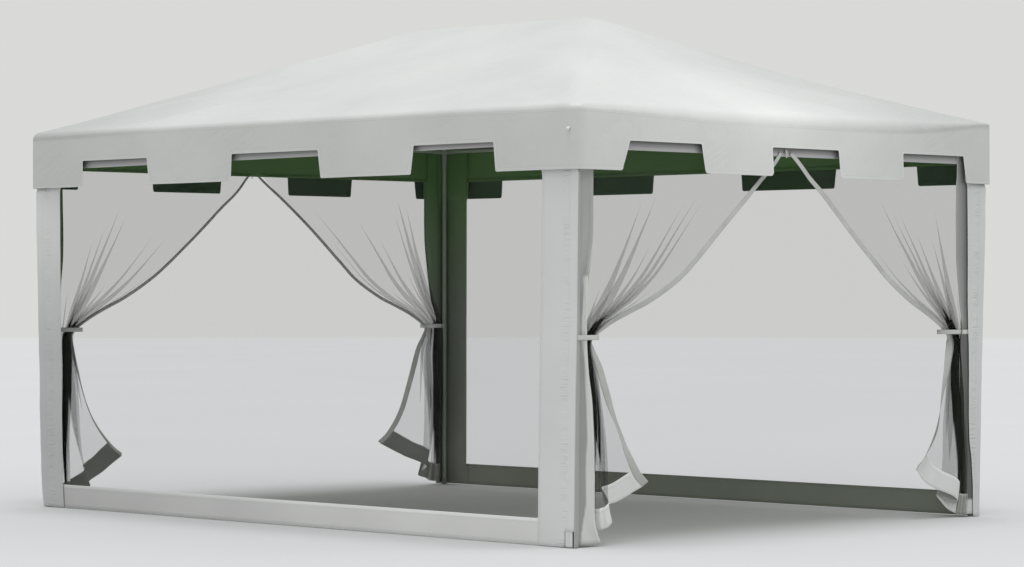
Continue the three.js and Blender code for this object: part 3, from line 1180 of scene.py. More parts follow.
@functools.cache
def sleeve_level(name, height):
    """The insets of a sleeve's fold, the widths of its flanges and their far edges' insets."""
    corner = SLEEVES[name]
    hidden = ease((height - TAB_HEIGHT + 0.012) / 0.03)
    folds = [blend(between(line, height), HIDDEN_FOLD, hidden) for line in corner["folds"]]
    widths = [between(line, height) for line in corner["widths"]]
    edges = [blend(edge, HIDDEN_EDGE, hidden) for edge in corner["edges"]]
    return folds, widths, edges


def sleeve_height(row):
    return blend(HEM_CLEARANCE, HEADER_TOP, row / SLEEVE_ROWS)


def sleeve_run(name, column, row):
    """How far a column lies from the fold, measured along the cloth. Columns are closer at the fold."""
    share = column / SLEEVE_HALF_COLUMNS - 1
    width = sleeve_level(name, sleeve_height(row))[1][share > 0]
    return math.copysign(abs(share) ** 1.7 * width, share)


def sleeve_point(name, column, row):
    first, second = [SIDES[side] for side in SLEEVES[name]["sides"]]
    run = sleeve_run(name, column, row)
    height = sleeve_height(row)
    folds, widths, edges = sleeve_level(name, height)
    swing = (1 + min(max(run / FOLD_RADIUS, -1), 1)) * math.pi / 4
    away = outward(first, swing)
    beyond = max(abs(run) - FOLD_RADIUS, 0) / (widths[run > 0] - FOLD_RADIUS)
    if beyond == 0:
        along = first["half"] - folds[1] - FOLD_RADIUS
        point = on_side(first, along, folds[0] + FOLD_RADIUS, height) + away * FOLD_RADIUS
    elif run < 0:
        inset = blend(folds[0], edges[0], beyond)
        point = on_side(first, first["half"] - folds[1] + run, inset, height)
    else:
        inset = blend(folds[1], edges[1], beyond)
        point = on_side(second, folds[0] - second["half"] + run, inset, height)
    wave = wander(point, 0.35, 21) + 0.5 * wander(point, 0.09, 22)
    return lean(point + away * SLEEVE_WAVE * wave * (1 - 0.75 * beyond**2))


def sleeve_cut(name, column, row):
    return sleeve_run(name, column, row), HEADER_TOP * row / SLEEVE_ROWS


def sleeve_hem(name, column, row):
    """The distance from the nearest flange's edge or the hem at the foot."""
    run = sleeve_run(name, column, row)
    to_side = sleeve_level(name, sleeve_height(row))[1][run > 0] - abs(run)
    return min(to_side, (HEADER_TOP - HEM_CLEARANCE) * row / SLEEVE_ROWS)


def sleeve_painted_shade(name, column, row):
    """Painted shade: the near sleeve is darkened to the right of its fold, where its flange lies in the
    shade, and the front left one towards its foot. The back ones are darkened all over.
    """
    if name == "front_right":
        return blend(1, 0.55, ease((sleeve_run(name, column, row) + 0.006) / 0.008))
    if name == "front_left":
        return blend(1, 0.72, ease((1.5 - HEADER_TOP * row / SLEEVE_ROWS) / 0.7))
    return SLEEVE_SHADES[name]


def make_sleeves():
    """Each corner's sleeve is one strip of cloth, folded round the post."""
    columns = 2 * SLEEVE_HALF_COLUMNS
    for name in SLEEVES:
        values = for_piece(name, sleeve_point, sleeve_cut, sleeve_hem)
        tone = functools.partial(sleeve_painted_shade, name)
        sleeve = make_sheet(f"sleeve_{name}", columns, SLEEVE_ROWS, *values, tone=tone)
        if name == "front_right":
            open_foot(sleeve, columns)
        nodes = [f"corner_sleeve_{name}_{flange}" for flange in ("long", "short")]
        finish_cloth(sleeve, SLEEVE_WHITE, BORDER_INSIDE_SHADE, CLOTH_THICKNESS, "wall_border", *nodes)
        widths = sleeve_level(name, sleeve_height(SLEEVE_ROWS // 2))[1]
        sum(widths)


def open_foot(sleeve, columns):
    """Cuts out the foot of the near sleeve's front flange, beside the fold."""

    def is_open(column, row):
        return row < FOOT_CUT_ROWS and column - SLEEVE_HALF_COLUMNS in FOOT_CUT_COLUMNS

    take_out(sleeve, columns, is_open)


def make_sleeve_tab():
    """The end of the front right sleeve's inner facing, which hangs over its hem."""
    piece = "sleeve_tab_front_right"
    front = SIDES["front"]
    tab = wall_strip(piece, front, FACING_ENDS, FACING_HEIGHTS, FACING_INSET, 31, 6, 12, billow=0.001)
    finish_cloth(tab, SLEEVE_WHITE, BORDER_INSIDE_SHADE, CLOTH_THICKNESS, "wall_border")


# Curtains

# A curtain's free edge from the header down: height, distance from the side's middle, inset
FREE_EDGE = [
    (1.79, 0.005, 0.05), (1.7, 0.107, 0.055), (1.6, 0.238, 0.057), (1.5, 0.361, 0.062),
    (1.4, 0.483, 0.062), (1.3, 0.606, 0.058), (1.2, 0.74, 0.058), (1.1, 0.925, 0.068),
    (1.05, 1.048, 0.08), (1.0, 1.16, 0.092), (0.93, 1.272, 0.095), (0.89, 1.292, 0.084),
    (0.8, 1.268, 0.066), (0.7, 1.242, 0.06), (0.5, 1.178, 0.057), (0.4, 1.12, 0.06),
    (0.3, 1.03, 0.068), (0.25, 0.96, 0.072),
]
FREE_PLACE = [(-height, place) for height, place, inset in FREE_EDGE]
FREE_INSET = [(-height, inset) for height, place, inset in FREE_EDGE]
# Distances from the side's middle: of the free edge at the tie, and of a closed curtain's two edges
TIE_FREE = 1.272
CURTAIN_POST = 1.352
CURTAIN_CLOSED = 0.005
CURTAIN_WIDTH = CURTAIN_POST - CURTAIN_CLOSED
# Heights of the top and of the free corner, and how long the cloth is from top to hem
CURTAIN_TOP = 1.79
FREE_CORNER_HEIGHT = 0.25
CURTAIN_DROP = 1.76
# From the header, 0, over the tie, 1, to the hem, 2: how far a pleat swings along the wall
PLEAT_SWING = [(0, 0), (0.25, 0.01), (0.6, 0.018), (0.85, 0.023), (1, 0.016), (1.15, 0.02), (2, 0.012)]
# and how deep it is
PLEAT_DEPTH = [(0, 0.003), (0.35, 0.006), (0.7, 0.016), (0.9, 0.024), (1, 0.024), (1.15, 0.028), (2, 0.026)]
# The zip tape's visible width, as a share of its full width, narrower where it is drawn along
TAPE_WIDTHS = [(0, 0.5), (0.2, 0.6), (0.7, 0.66), (0.92, 0.66), (1, 0.6), (1.08, 1), (2, 1)]
PLEATS = 10
# How far the pleats hang inside the walls' face, and how far the net reaches behind its edging
PLEATS_INSET = 0.008
NET_BEHIND = 0.01
# The share of the zip tape's width that lies beyond the net's free edge, and the share that laps over
# it, how far the tape lies off the net, how much further at its top, and how long it is
TAPE_BEYOND = 0.8
TAPE_LAP = 0.12
TAPE_LIFT = 0.0025
TAPE_TOP_LIFT = 0.026
TAPE_LENGTH = 2.2
CURTAIN_COLUMNS = 240
CURTAIN_ROWS = 96
# The hem's height in steps of the way down, where the drop from tie to hem is 1, and in metres of cloth
HEM_BAND = 0.11
HEM_CLOTH = 0.09
HEM_LIFT = 0.0015
# The edging behind the sleeve's flange: the height of its foot, how far it laps behind the flange, how
# far it lies inside the flange there, and the inset of its free edge
EDGING_COLUMNS = 14
EDGING_ROWS = 120
EDGING_FOOT = 0.014
EDGING_LAP = 0.014
EDGING_BEHIND = 0.0055
EDGING_INSET = 0.0295
HIDDEN_EDGING = HIDDEN_EDGE + 0.0035

# Each curtain's lower edge, as the share of the cloth from the post, the share of the way from the
# post to the free corner, the inset and the height. Then its side, the end of the side where it is
# tied, a seed for its pleats, the width of its zip tape and how that turns below the tie, in degrees,
# where the gathers begin at the tie, how far the free edge hangs from the common one, by height, and
# the free edge of the white edging along the post, as height and distance from the side's middle
CURTAINS = {
    "right_front": {
        "hem": [
            (0, 0, 0.036, 0.02), (0.3, 0.03, 0.06, 0.03), (0.55, 0.05, 0.06, 0.07), (0.61, 0.1, 0.04, 0.072),
            (0.68, 0.2, 0.028, 0.082), (0.73, 0.29, 0.03, 0.1), (0.77, 0.34, 0.055, 0.135),
            (0.81, 0.36, 0.085, 0.16), (0.86, 0.41, 0.105, 0.175), (0.92, 0.62, 0.1, 0.19),
            (1, 1, 0.08, 0.25),
        ],
        "side": "right",
        "end": -1,
        "seed": 51,
        "tape": 0.04,
        "turns": [(1, 0), (1.19, 0), (1.41, -5), (1.625, -27), (1.85, 0), (2, 20)],
        "tie_post": 1.39,
        "free_shift": [
            (0.25, -0.01), (0.4, -0.056), (0.5, -0.068), (0.65, -0.02), (0.79, 0.004), (0.87, 0.014),
            (0.95, 0.006), (1.1, 0), (1.54, 0), (1.7, 0.023), (1.79, 0.058),
        ],
        "edging": [
            (0.018, 1.31), (0.086, 1.34), (0.195, 1.347), (0.342, 1.347), (0.488, 1.352), (0.64, 1.364),
            (0.786, 1.388), (0.946, 1.401), (1.132, 1.402), (1.251, 1.384), (1.362, 1.365), (1.45, 1.36),
        ],
    },
    "right_back": {
        "hem": [
            (0, 0, 0.036, 0.016), (0.3, 0.05, 0.048, 0.014), (0.57, 0.14, 0.056, 0.02),
            (0.6, 0.21, 0.075, 0.035), (0.64, 0.36, 0.092, 0.08), (0.67, 0.43, 0.1, 0.112),
            (0.7, 0.37, 0.085, 0.1), (0.74, 0.22, 0.06, 0.072), (0.775, 0.14, 0.046, 0.08),
            (0.8, 0.24, 0.043, 0.105), (0.84, 0.42, 0.046, 0.128), (0.92, 0.71, 0.056, 0.163),
            (0.96, 0.86, 0.064, 0.195), (1, 1, 0.072, 0.25),
        ],
        "side": "right",
        "end": 1,
        "seed": 58,
        "tape": 0.042,
        "turns": [(1, -40), (1.02, -40), (1.72, 50), (2, 30)],
        "tie_post": 1.37,
        "free_shift": [
            (0.25, 0.035), (0.42, 0.006), (0.59, -0.02), (0.767, -0.014), (0.9, 0), (1.55, 0),
            (1.7, -0.016), (1.79, -0.058),
        ],
        "edging": [
            (0.009, 1.382), (0.084, 1.388), (0.235, 1.387), (0.336, 1.376), (0.462, 1.361), (0.588, 1.358),
            (0.739, 1.34), (0.864, 1.324), (0.965, 1.326), (1.09, 1.306), (1.19, 1.291), (1.39, 1.271),
            (1.665, 1.264),
        ],
    },
    "left_front": {
        "hem": [
            (0, 0, 0.036, 0.02), (0.3, 0.05, 0.05, 0.02), (0.58, 0.13, 0.06, 0.04), (0.66, 0.3, 0.09, 0.08),
            (0.73, 0.36, 0.1, 0.1), (0.8, 0.4, 0.07, 0.12), (0.9, 0.68, 0.055, 0.17), (1, 1, 0.072, 0.25),
        ],
        "side": "left",
        "end": 1,
        "seed": 66,
        "tape": 0.025,
        "turns": [(1, -20), (1.1, 0), (1.5, 45), (2, 20)],
        "tie_post": 1.35,
        "free_shift": [(0.7, 0.01), (0.93, 0.03), (1.3, 0)],
        "edging": [(0.85, 1.362), (1.06, 1.358), (1.14, 1.35), (1.27, 1.337), (1.4, 1.33), (1.7, 1.328)],
    },
    "left_back": {
        "hem": [
            (0, 0, 0.036, 0.02), (0.4, 0.13, 0.05, 0.02), (0.64, 0.24, 0.05, 0.04), (0.72, 0.33, 0.035, 0.06),
            (0.79, 0.26, 0.05, 0.09), (0.85, 0.32, 0.09, 0.12), (0.93, 0.68, 0.09, 0.18), (1, 1, 0.072, 0.25),
        ],
        "side": "left",
        "end": -1,
        "seed": 73,
        "tape": 0.028,
        "turns": [(1, 0), (1.1, 0), (1.5, 55), (2, 25)],
        "tie_post": 1.405,
        "free_shift": [(0.25, -0.06), (0.5, -0.07), (0.7, -0.055), (0.93, -0.04), (1.3, 0)],
        "edging": [(0.9, 1.412), (0.975, 1.405), (1.08, 1.36), (1.2, 1.336), (1.375, 1.312), (1.54, 1.304)],
    },
}
# Where the white of the near curtain's edging begins, beside its painted shade: height, and distance
WHITE_FROM = [
    (0.048, 1.427), (0.197, 1.4), (0.343, 1.4), (0.489, 1.395), (0.64, 1.401), (0.787, 1.412),
    (0.946, 1.425), (1.132, 1.419),
]
# A strap's way round the curtain, as distance from the middle and inset, and where it is sewn on
STRAP_ROUTE = [
    (1.36, 0.0255), (1.33, 0.032), (1.285, 0.058), (1.253, 0.095), (1.25, 0.122),
    (1.268, 0.136), (1.31, 0.128), (1.38, 0.096), (1.436, 0.066),
]
STRAP_SEWN = {
    "right_front": [(1.478, 0.0125), (1.42, 0.0195)],
    "right_back": [(1.4, 0.0225)],
    "left_front": [(1.4, 0.0225)],
    "left_back": [(1.4, 0.0225)],
}


@functools.cache
def curtain_level(name, down):
    """One level of a curtain: the height, place and inset of its free edge, and its pleats."""
    if down <= 1:
        height = blend(CURTAIN_TOP, TIE_HEIGHT, down)
    else:
        height = blend(TIE_HEIGHT, FREE_CORNER_HEIGHT, down - 1)
    free = through(FREE_PLACE, -height) + through(CURTAINS[name]["free_shift"], height)
    return {
        "height": height,
        "free": free + TAPE_BEYOND * CURTAINS[name]["tape"],
        "inset": through(FREE_INSET, -height),
        "swing": through(PLEAT_SWING, down),
        "depth": through(PLEAT_DEPTH, down),
    }


@functools.cache
def curtain_thread(name, across):
    """Where a thread ends in the lower edge: its share of the way from the post to the free corner,
    its inset and its height."""
    hem = CURTAINS[name]["hem"]
    return [through([(row[0], row[value]) for row in hem], across) for value in (1, 2, 3)]


def edging_free(name, height):
    """How far from the side's middle the free edge of a curtain's white edging hangs."""
    return through(CURTAINS[name]["edging"], height)


def above_tie(name, across, down):
    """Where a thread hangs between the header and the tie: its place, its height and the place of the
    post's edge."""
    level = curtain_level(name, down)
    tie_post = CURTAINS[name]["tie_post"]
    top = CURTAIN_POST - across * CURTAIN_WIDTH
    tie = blend(tie_post, TIE_FREE, across)
    free_drawn = (level["free"] - CURTAIN_CLOSED) / (TIE_FREE - CURTAIN_CLOSED)
    place = blend(top, tie, blend(down, free_drawn, across))
    return place, level["height"], blend(CURTAIN_POST, tie_post, down)


def below_tie(name, across, down):
    """The same between the tie and the hem."""
    fall = down - 1
    run, _, hem_height = curtain_thread(name, across)
    height = blend(TIE_HEIGHT, hem_height, fall)
    post = blend(CURTAINS[name]["tie_post"], edging_free(name, height), ease(fall * 3))
    place = blend(post, curtain_level(name, down)["free"], blend(across, run, ease(fall * 1.5)))
    return place, height, post


def pleat_at(name, across, down):
    """What the pleats do to a thread: how far they move it along the wall, how deep they are there,
    and how far they move it outwards. Towards the hem they are uneven."""
    level = curtain_level(name, down)
    seed = CURTAINS[name]["seed"]
    uneven = 0.045 * math.sin(9.1 * across + seed) + 0.03 * math.sin(17.3 * across + 2.1 * seed)
    pleat = PLEATS * (across + uneven)
    size = 1 + 0.9 * noise.noise(Vector((0.63 * pleat, seed, 0.5)))
    turn = math.tau * pleat
    loose = min(1, 8 * across, 8 * (1 - across))
    broad = ease((down - 1.45) / 0.45)
    size *= 1 - broad * blend(0.3, 0.9, ease((across - 0.48) / 0.14))
    depth = level["depth"] * blend(1, size, 0.3 + 0.7 * broad) * loose
    return size * level["swing"] * math.sin(turn) * loose, depth, depth * math.cos(turn)


def curtain_point(name, across, down, lift=0.0):
    """A point of a curtain: across from the post's edge, 0, to the free edge, 1, and down from the
    header, 0, over the tie, 1, to the hem, 2. lift raises it off the cloth's outer face."""
    curtain = CURTAINS[name]
    side = SIDES[curtain["side"]]
    hanging = above_tie if down <= 1 else below_tie
    place, height, post = hanging(name, across, down)
    place += (edging_free(name, height) + NET_BEHIND - post) * (1 - across) ** 3
    swing, depth, out = pleat_at(name, across, down)
    place += swing
    hem_inset = curtain_thread(name, across)[1]
    drop = ease((down - 1.15) / 0.6)
    free_inset = curtain_level(name, down)["inset"]
    inset = blend(blend(WALL_INSET + PLEATS_INSET + depth, free_inset, across), hem_inset, drop) - out
    point = on_side(side, curtain["end"] * place, inset, height)
    point += outward(side) * (0.004 * ease(down * 2.5) * wander(point, 0.25, curtain["seed"]) + lift)
    return lean(point)


def post_to_free(name, column, columns):
    """The share of a curtain's width at a grid's column, which runs left to right seen from outside."""
    return 1 - column / columns if CURTAINS[name]["end"] > 0 else column / columns


def make_curtains():
    for name in CURTAINS:
        curtain = make_sheet(
            f"curtain_net_{name}",
            CURTAIN_COLUMNS,
            CURTAIN_ROWS,
            lambda column, row: curtain_point(
                name, post_to_free(name, column, CURTAIN_COLUMNS), 2 - 2 * row / CURTAIN_ROWS
            ),
            lambda column, row: (
                CURTAIN_WIDTH * column / CURTAIN_COLUMNS, CURTAIN_DROP * row / CURTAIN_ROWS
            ),
        )
        finish(curtain, CURTAIN_NET, "netting", f"curtain_{name}")
        trimmings = [make_edging(name), make_zip_tape(name), make_curtain_hem(name), make_strap(name)]


def edging_height(row):
    return blend(EDGING_FOOT, HEADER_TOP, row / EDGING_ROWS)


def flange_over(name):
    """The sleeve that a curtain's edging hangs behind, and which of its flanges."""
    curtain = CURTAINS[name]
    return SIDES[curtain["side"]]["corners"][curtain["end"] > 0], int(curtain["end"] < 0)


def edging_ends(name, height):
    """The edging's hidden edge and its free one, as distances from the side's middle."""
    corner, flange = flange_over(name)
    folds, widths = sleeve_level(corner, height)[:2]
    start = SIDES[CURTAINS[name]["side"]]["half"] - folds[1 - flange] - widths[flange] + EDGING_LAP
    return start, edging_free(name, height)


def edging_point(name, column, row):
    curtain = CURTAINS[name]
    side = SIDES[curtain["side"]]
    corner, flange = flange_over(name)
    height = edging_height(row)
    share = post_to_free(name, column, EDGING_COLUMNS)
    hidden = ease((height - TAB_HEIGHT) / 0.03)
    deep = blend(sleeve_level(corner, height)[2][flange] + EDGING_BEHIND, HIDDEN_EDGING, hidden)
    out = blend(EDGING_INSET, HIDDEN_EDGING, hidden)
    along = curtain["end"] * blend(*edging_ends(name, height), share)
    point = on_side(side, along, blend(deep, out, share), height)
    loose = (1 - hidden) * ease(share * 1.5) * ease((TAB_HEIGHT - height) / 0.4)
    wave = wander(point, 0.16, curtain["seed"]) + 0.6 * math.sin(9 * share + 5 * wander(point, 0.3, 91))
    return lean(point + outward(side) * SLEEVE_WAVE * loose * wave)


def edging_cut(name, column, row):
    height = edging_height(row)
    start, end = edging_ends(name, height)
    return (end - start) * -post_to_free(name, column, EDGING_COLUMNS), height


def edging_hem(name, column, row):
    """The distance from the free edge."""
    start, end = edging_ends(name, edging_height(row))
    return (start - end) * (1 - post_to_free(name, column, EDGING_COLUMNS))


def edging_painted_shade(name, column, row):
    """Painted shade: the near curtain's edging is grey where it lies in the shade beside the sleeve, and
    white towards its free edge below 1.2 m.
    The others' edgings have painted shade above their white foot, darkest at the post."""
    height = edging_height(row)
    share = post_to_free(name, column, EDGING_COLUMNS)
    if name == "right_front":
        white = through(WHITE_FROM, height) - blend(*edging_ends(name, height), share)
        grey = blend(0.5, 0.62, ease((height - 1.1) / 0.2))
        return blend(grey, 1, ease(white / 0.006) * (height < 1.2))
    low = blend(0.2, 1, ease((0.09 - height) / 0.01))
    return blend(low, blend(0.15, 0.55, share), ease((height - 0.9) / 0.1))


def make_edging(name):
    """The white edging along a curtain's post edge, which comes out from behind the sleeve's flange."""
    values = for_piece(name, edging_point, edging_cut, edging_hem)
    tone = functools.partial(edging_painted_shade, name)
    edging = make_sheet(f"curtain_edging_{name}", EDGING_COLUMNS, EDGING_ROWS, *values, tone=tone)
    finish_cloth(edging, CURTAIN_EDGING, BORDER_INSIDE_SHADE, TRIM_THICKNESS, "wall_border")
    return edging


def make_zip_tape(name):
    """The white half of a zip, sewn to the net's free edge. It narrows at the tie and turns below it."""
    curtain = CURTAINS[name]
    side = SIDES[curtain["side"]]
    columns = 6
    rows = 150
    edge = [curtain_point(name, 1, 2 * step / rows) for step in range(rows + 1)]
    towards_post = outward(side, math.pi / 2) * curtain["end"]

    def place(column, row):
        step = rows - row
        down = 2 * step / rows
        run = (edge[min(step + 1, rows)] - edge[max(step - 1, 0)]).normalized()
        swing = math.radians(through(curtain["turns"], down)) * ease((down - 0.94) / 0.06)
        level = towards_post * math.cos(swing) - outward(side) * math.sin(swing)
        width = (level - run * level.dot(run)).normalized()
        narrow = through(TAPE_WIDTHS, down)
        reach = curtain["tape"] * (narrow * post_to_free(name, column, columns) - TAPE_LAP)
        lift = TAPE_LIFT + TAPE_TOP_LIFT * ease(1 - down / 0.16)
        return edge[step] - width * reach + outward(side) * lift

    tape = make_sheet(
        f"zip_tape_{name}",
        columns,
        rows,
        place,
        lambda column, row: (
            curtain["tape"] * (1 - post_to_free(name, column, columns)), TAPE_LENGTH * row / rows
        ),
    )
    finish_cloth(tape, ZIP_TAPE, ZIP_TAPE, TRIM_THICKNESS, "wall_border")
    return tape


def make_curtain_hem(name):
    """The white band along a curtain's lower edge, which folds with it."""
    rows = 8

    def place(column, row):
        across = post_to_free(name, column, CURTAIN_COLUMNS)
        return curtain_point(name, across, 2 - HEM_BAND * row / rows, HEM_LIFT)

    def cut(column, row):
        return CURTAIN_WIDTH * column / CURTAIN_COLUMNS, HEM_CLOTH * row / rows

    hem = make_sheet(f"curtain_hem_{name}", CURTAIN_COLUMNS, rows, place, cut)
    finish_cloth(hem, BORDER_WHITE, HEM_INSIDE_SHADE, TRIM_THICKNESS, "wall_border")
    return hem


def make_strap(name):
    """A flat strap from the sleeve's outer face round the gathered curtain and back to the post."""
    curtain = CURTAINS[name]
    side = SIDES[curtain["side"]]
    shift = through(curtain["free_shift"], TIE_HEIGHT)
    start = STRAP_ROUTE[0][0]
    drawn = [(place + shift * ease((start - place) / 0.1), inset) for place, inset in STRAP_ROUTE]
    route = STRAP_SEWN[name] + drawn
    lengths = [0]
    for before, after in zip(route, route[1:]):
        lengths.append(lengths[-1] + math.dist(before, after))
    places = [(length, point[0]) for length, point in zip(lengths, route)]
    insets = [(length, point[1]) for length, point in zip(lengths, route)]
    columns = 70
    rows = 4

    def place(column, row):
        run = lengths[-1] * post_to_free(name, column, columns)
        height = TIE_HEIGHT + STRAP_HEIGHT * (row / rows - 0.5)
        return lean(on_side(side, curtain["end"] * through(places, run), through(insets, run), height))

    strap = make_sheet(
        f"strap_tape_{name}",
        columns,
        rows,
        place,
        lambda column, row: (lengths[-1] * column / columns, STRAP_HEIGHT * row / rows),
    )
    finish_cloth(strap, STRAP_TAPE, STRAP_TAPE, STRAP_THICKNESS, "strap_webbing", f"strap_{name}")
    return strap


# Fittings of the cover and the curtains

EYELET_RINGS = [(0.0085, 0), (0.0095, 0.0006), (0.0088, 0.0014), (0.006, 0.0019)]
EYELET_SEAT = 0.0006
BALL_RADIUS = 0.0085
BALL_SEAT = 0.001
# The side and the end of it where each corner's eyelet sits
EYELET_SIDES = {
    "front_right": ("front", 1),
    "back_right": ("back", -1),
    "back_left": ("back", 1),
    "front_left": ("left", 1),
}


def turned(name, rings, vertices=32):
    """A round piece that stands upright at the origin. rings lists (radius, height)."""
    start = (0, 0, rings[0][1])
    bpy.ops.object.select_all(action="DESELECT")
    bpy.ops.mesh.primitive_circle_add(vertices=vertices, radius=rings[0][0], fill_type="NGON", location=start)
    piece = bpy.context.object
    piece.name = name
    bpy.ops.object.mode_set(mode="EDIT")
    bpy.ops.mesh.select_all(action="SELECT")
    for (radius, height), (next_radius, next_height) in zip(rings, rings[1:]):
        bpy.ops.mesh.extrude_region_move(TRANSFORM_OT_translate={"value": (0, 0, next_height - height)})
        grow = next_radius / radius
        bpy.ops.transform.resize(value=(grow, grow, 1), center_override=(0, 0, next_height))
    bpy.ops.mesh.select_all(action="SELECT")
    bpy.ops.mesh.normals_make_consistent(inside=False)
    bpy.ops.object.mode_set(mode="OBJECT")
    bpy.ops.object.shade_smooth_by_angle(angle=math.radians(32))
    bpy.ops.object.transform_apply(location=True, rotation=True, scale=True)
    return piece


def copied(model, name, place, turn):
    """A copy of a piece at the origin, with its own mesh, turned and moved to its place."""
    piece = model.copy()
    piece.data = model.data.copy()
    piece.name = name
    piece.data.name = name
    bpy.context.scene.collection.objects.link(piece)
    piece.rotation_euler = turn
    piece.location = place
    select_only(piece)
    bpy.ops.object.transform_apply(location=True, rotation=True, scale=True)
    return piece


def upright_to(way):
    """The turn that points an upright piece along a way."""
    return way.to_track_quat("Z", "Y").to_euler()


def put_away(*models):
    """Removes the models once they have been copied."""
    for model in models:
        bpy.data.objects.remove(model)


def ball_rings(radius, start):
    """The rings of a ball that begins at the start height."""
    angles = [math.radians(degrees) for degrees in range(-80, 81, 16)]
    return [(radius * math.cos(angle), start + radius * (1 + math.sin(angle))) for angle in angles]


def valance_spot(name, place, height):
    """A spot on the valance's face, and the way that the face looks there."""
    side = SIDES[name]
    radius = at_ends(name, "edge")[place > 0]
    beyond = max(abs(place) - side["half"] + radius, 0)
    swing = math.copysign(math.asin(beyond / radius), place)
    bottom = eave_bottom(name, place)
    share = (height - notch_line(side, place)) / (bottom - notch_line(side, place))
    return cover_point(name, (place, swing), ("valance", share)), outward(side, swing)


def make_eyelets():
    """A metal eyelet beside each corner, with the plastic ball of the elastic loop that holds the
    cover to the post."""
    eyelet = turned("eyelet", EYELET_RINGS)
    elastic_ball = turned("elastic_ball", ball_rings(BALL_RADIUS, BALL_SEAT))
    for corner, (name, end) in EYELET_SIDES.items():
        spot, way = valance_spot(name, end * (SIDES[name]["half"] - EYELET_FROM_CORNER), EYELET_HEIGHT)
        spot += way * EYELET_SEAT
        ring = copied(eyelet, f"eyelet_{corner}", spot, upright_to(way))
        finish(ring, NICKEL, "steel_tube")
        ball = copied(elastic_ball, f"elastic_ball_{corner}", spot, upright_to(way))
        finish(ball, WHITE_PLASTIC, "wall_border")
    put_away(eyelet, elastic_ball)


def shaped_block(name, size, round_edges):
    """A small block at the origin, with a sunk face and round edges."""
    bpy.ops.object.select_all(action="DESELECT")
    bpy.ops.mesh.primitive_cube_add(size=1)
    block = bpy.context.object
    block.name = name
    bpy.ops.object.mode_set(mode="EDIT")
    bpy.ops.mesh.select_all(action="SELECT")
    bpy.ops.transform.resize(value=size, center_override=(0, 0, 0))
    bpy.ops.object.mode_set(mode="OBJECT")
    for face in block.data.polygons:
        face.select = face.normal.x > 0.9
    bpy.ops.object.mode_set(mode="EDIT")
    bpy.ops.mesh.select_mode(type="FACE")
    bpy.ops.mesh.inset(thickness=min(size[1], size[2]) * BLOCK_RIM)
    bpy.ops.mesh.extrude_region_move(TRANSFORM_OT_translate={"value": (-size[0] * BLOCK_SINK, 0, 0)})
    bpy.ops.mesh.select_all(action="SELECT")
    bpy.ops.mesh.normals_make_consistent(inside=False)
    bpy.ops.mesh.bevel(offset=round_edges, segments=2)
    bpy.ops.object.mode_set(mode="OBJECT")
    bpy.ops.object.shade_smooth_by_angle(angle=math.radians(35))
    return block


# The rim and the depth of a block's sunk face, as shares of the block's size
BLOCK_RIM = 0.22
BLOCK_SINK = 0.4
# Where the tapes of an entrance meet, along the side, and the slider's two parts
ZIP_TOPS = {"right": -0.062, "left": 0}
ZIP_BODY = (0.0045, 0.011, 0.014)
ZIP_PULL = (0.0022, 0.0075, 0.026)
# How far the pull hangs from the slider: along the side, inwards and up
PULL_OFFSET = (0.001, -0.0035, -0.017)


def make_zip_sliders():
    """The slider and its pull, at the top where the two tapes of an entrance meet."""
    body = shaped_block("zip_body", ZIP_BODY, 0.0008)
    pull = shaped_block("zip_pull", ZIP_PULL, 0.0005)
    aside, inwards, up = PULL_OFFSET
    for name, along in ZIP_TOPS.items():
        side = SIDES[name]
        way = outward(side)
        turn = (0, 0, math.atan2(way.y, way.x))
        body_place = lean(on_side(side, along, SLIDER_INSET, SLIDER_HEIGHT))
        pull_place = lean(on_side(side, along + aside, SLIDER_INSET + inwards, SLIDER_HEIGHT + up))
        parts = [copied(body, "body", body_place, turn), copied(pull, "pull", pull_place, turn)]
        slider = joined(f"zip_slider_{name}", parts)
        finish(slider, NICKEL, "steel_tube")
    put_away(body, pull)


# Steel posts and corner connectors

# Rings of the turned pieces, as (radius, height)
CAP_RINGS = [
    (0.0135, 0), (0.016, 0.0006), (0.0165, 0.002), (0.0165, 0.026), (0.016, 0.0275), (0.0142, 0.028),
    (0.0142, 0.0312), (0.0137, 0.032),
]
SOCKET_WELD = [(0.0105, 0.008), (0.0155, 0.0145), (0.0162, 0.017), (SOCKET_RADIUS, 0.019)]
# Heights below are measured from the socket's end, and from the post's foot, joint and head. The lower
# tube is swaged to slip into the upper one.
SOCKET_MOUTH = [
    (0.0155, -0.006), (0.0155, -0.0045), (0.0158, -0.0035), (0.0158, -0.001), (0.0154, 0), (0.0128, 0),
]
LOWER_FOOT = [(0.0118, 0.004), (TUBE_RADIUS, 0.0045)]
LOWER_SWAGE = [(TUBE_RADIUS, -0.012), (0.0116, -0.004), (0.0116, 0.02)]
UPPER_FOOT = [(0.0121, -0.0006), (TUBE_RADIUS, 0)]
UPPER_HEAD = [(TUBE_RADIUS, -0.03), (0.0118, -0.0295)]
BUTTON_RINGS = [(0.0032, 0), (0.0032, 0.0032), (0.0027, 0.004), (0.0015, 0.0046)]
BUTTON_FROM_MOUTH = 0.028
BUTTON_SINK = 0.002
HUB_RADIUS = 0.0115


def raised(rings, height):
    return [(radius, height + up) for radius, up in rings]


def model_post(length):
    """A post in two lengths of tube."""
    lower = LOWER_FOOT + raised(LOWER_SWAGE, POST_JOINT)
    upper = raised(UPPER_FOOT, POST_JOINT) + raised(UPPER_HEAD, length)
    return joined("post_steel", [turned("lower", lower), turned("upper", upper)])


def model_socket():
    """A socket with its weld at the foot and a rolled mouth."""
    return turned("socket", SOCKET_WELD + raised(SOCKET_MOUTH, SOCKET_LENGTH))


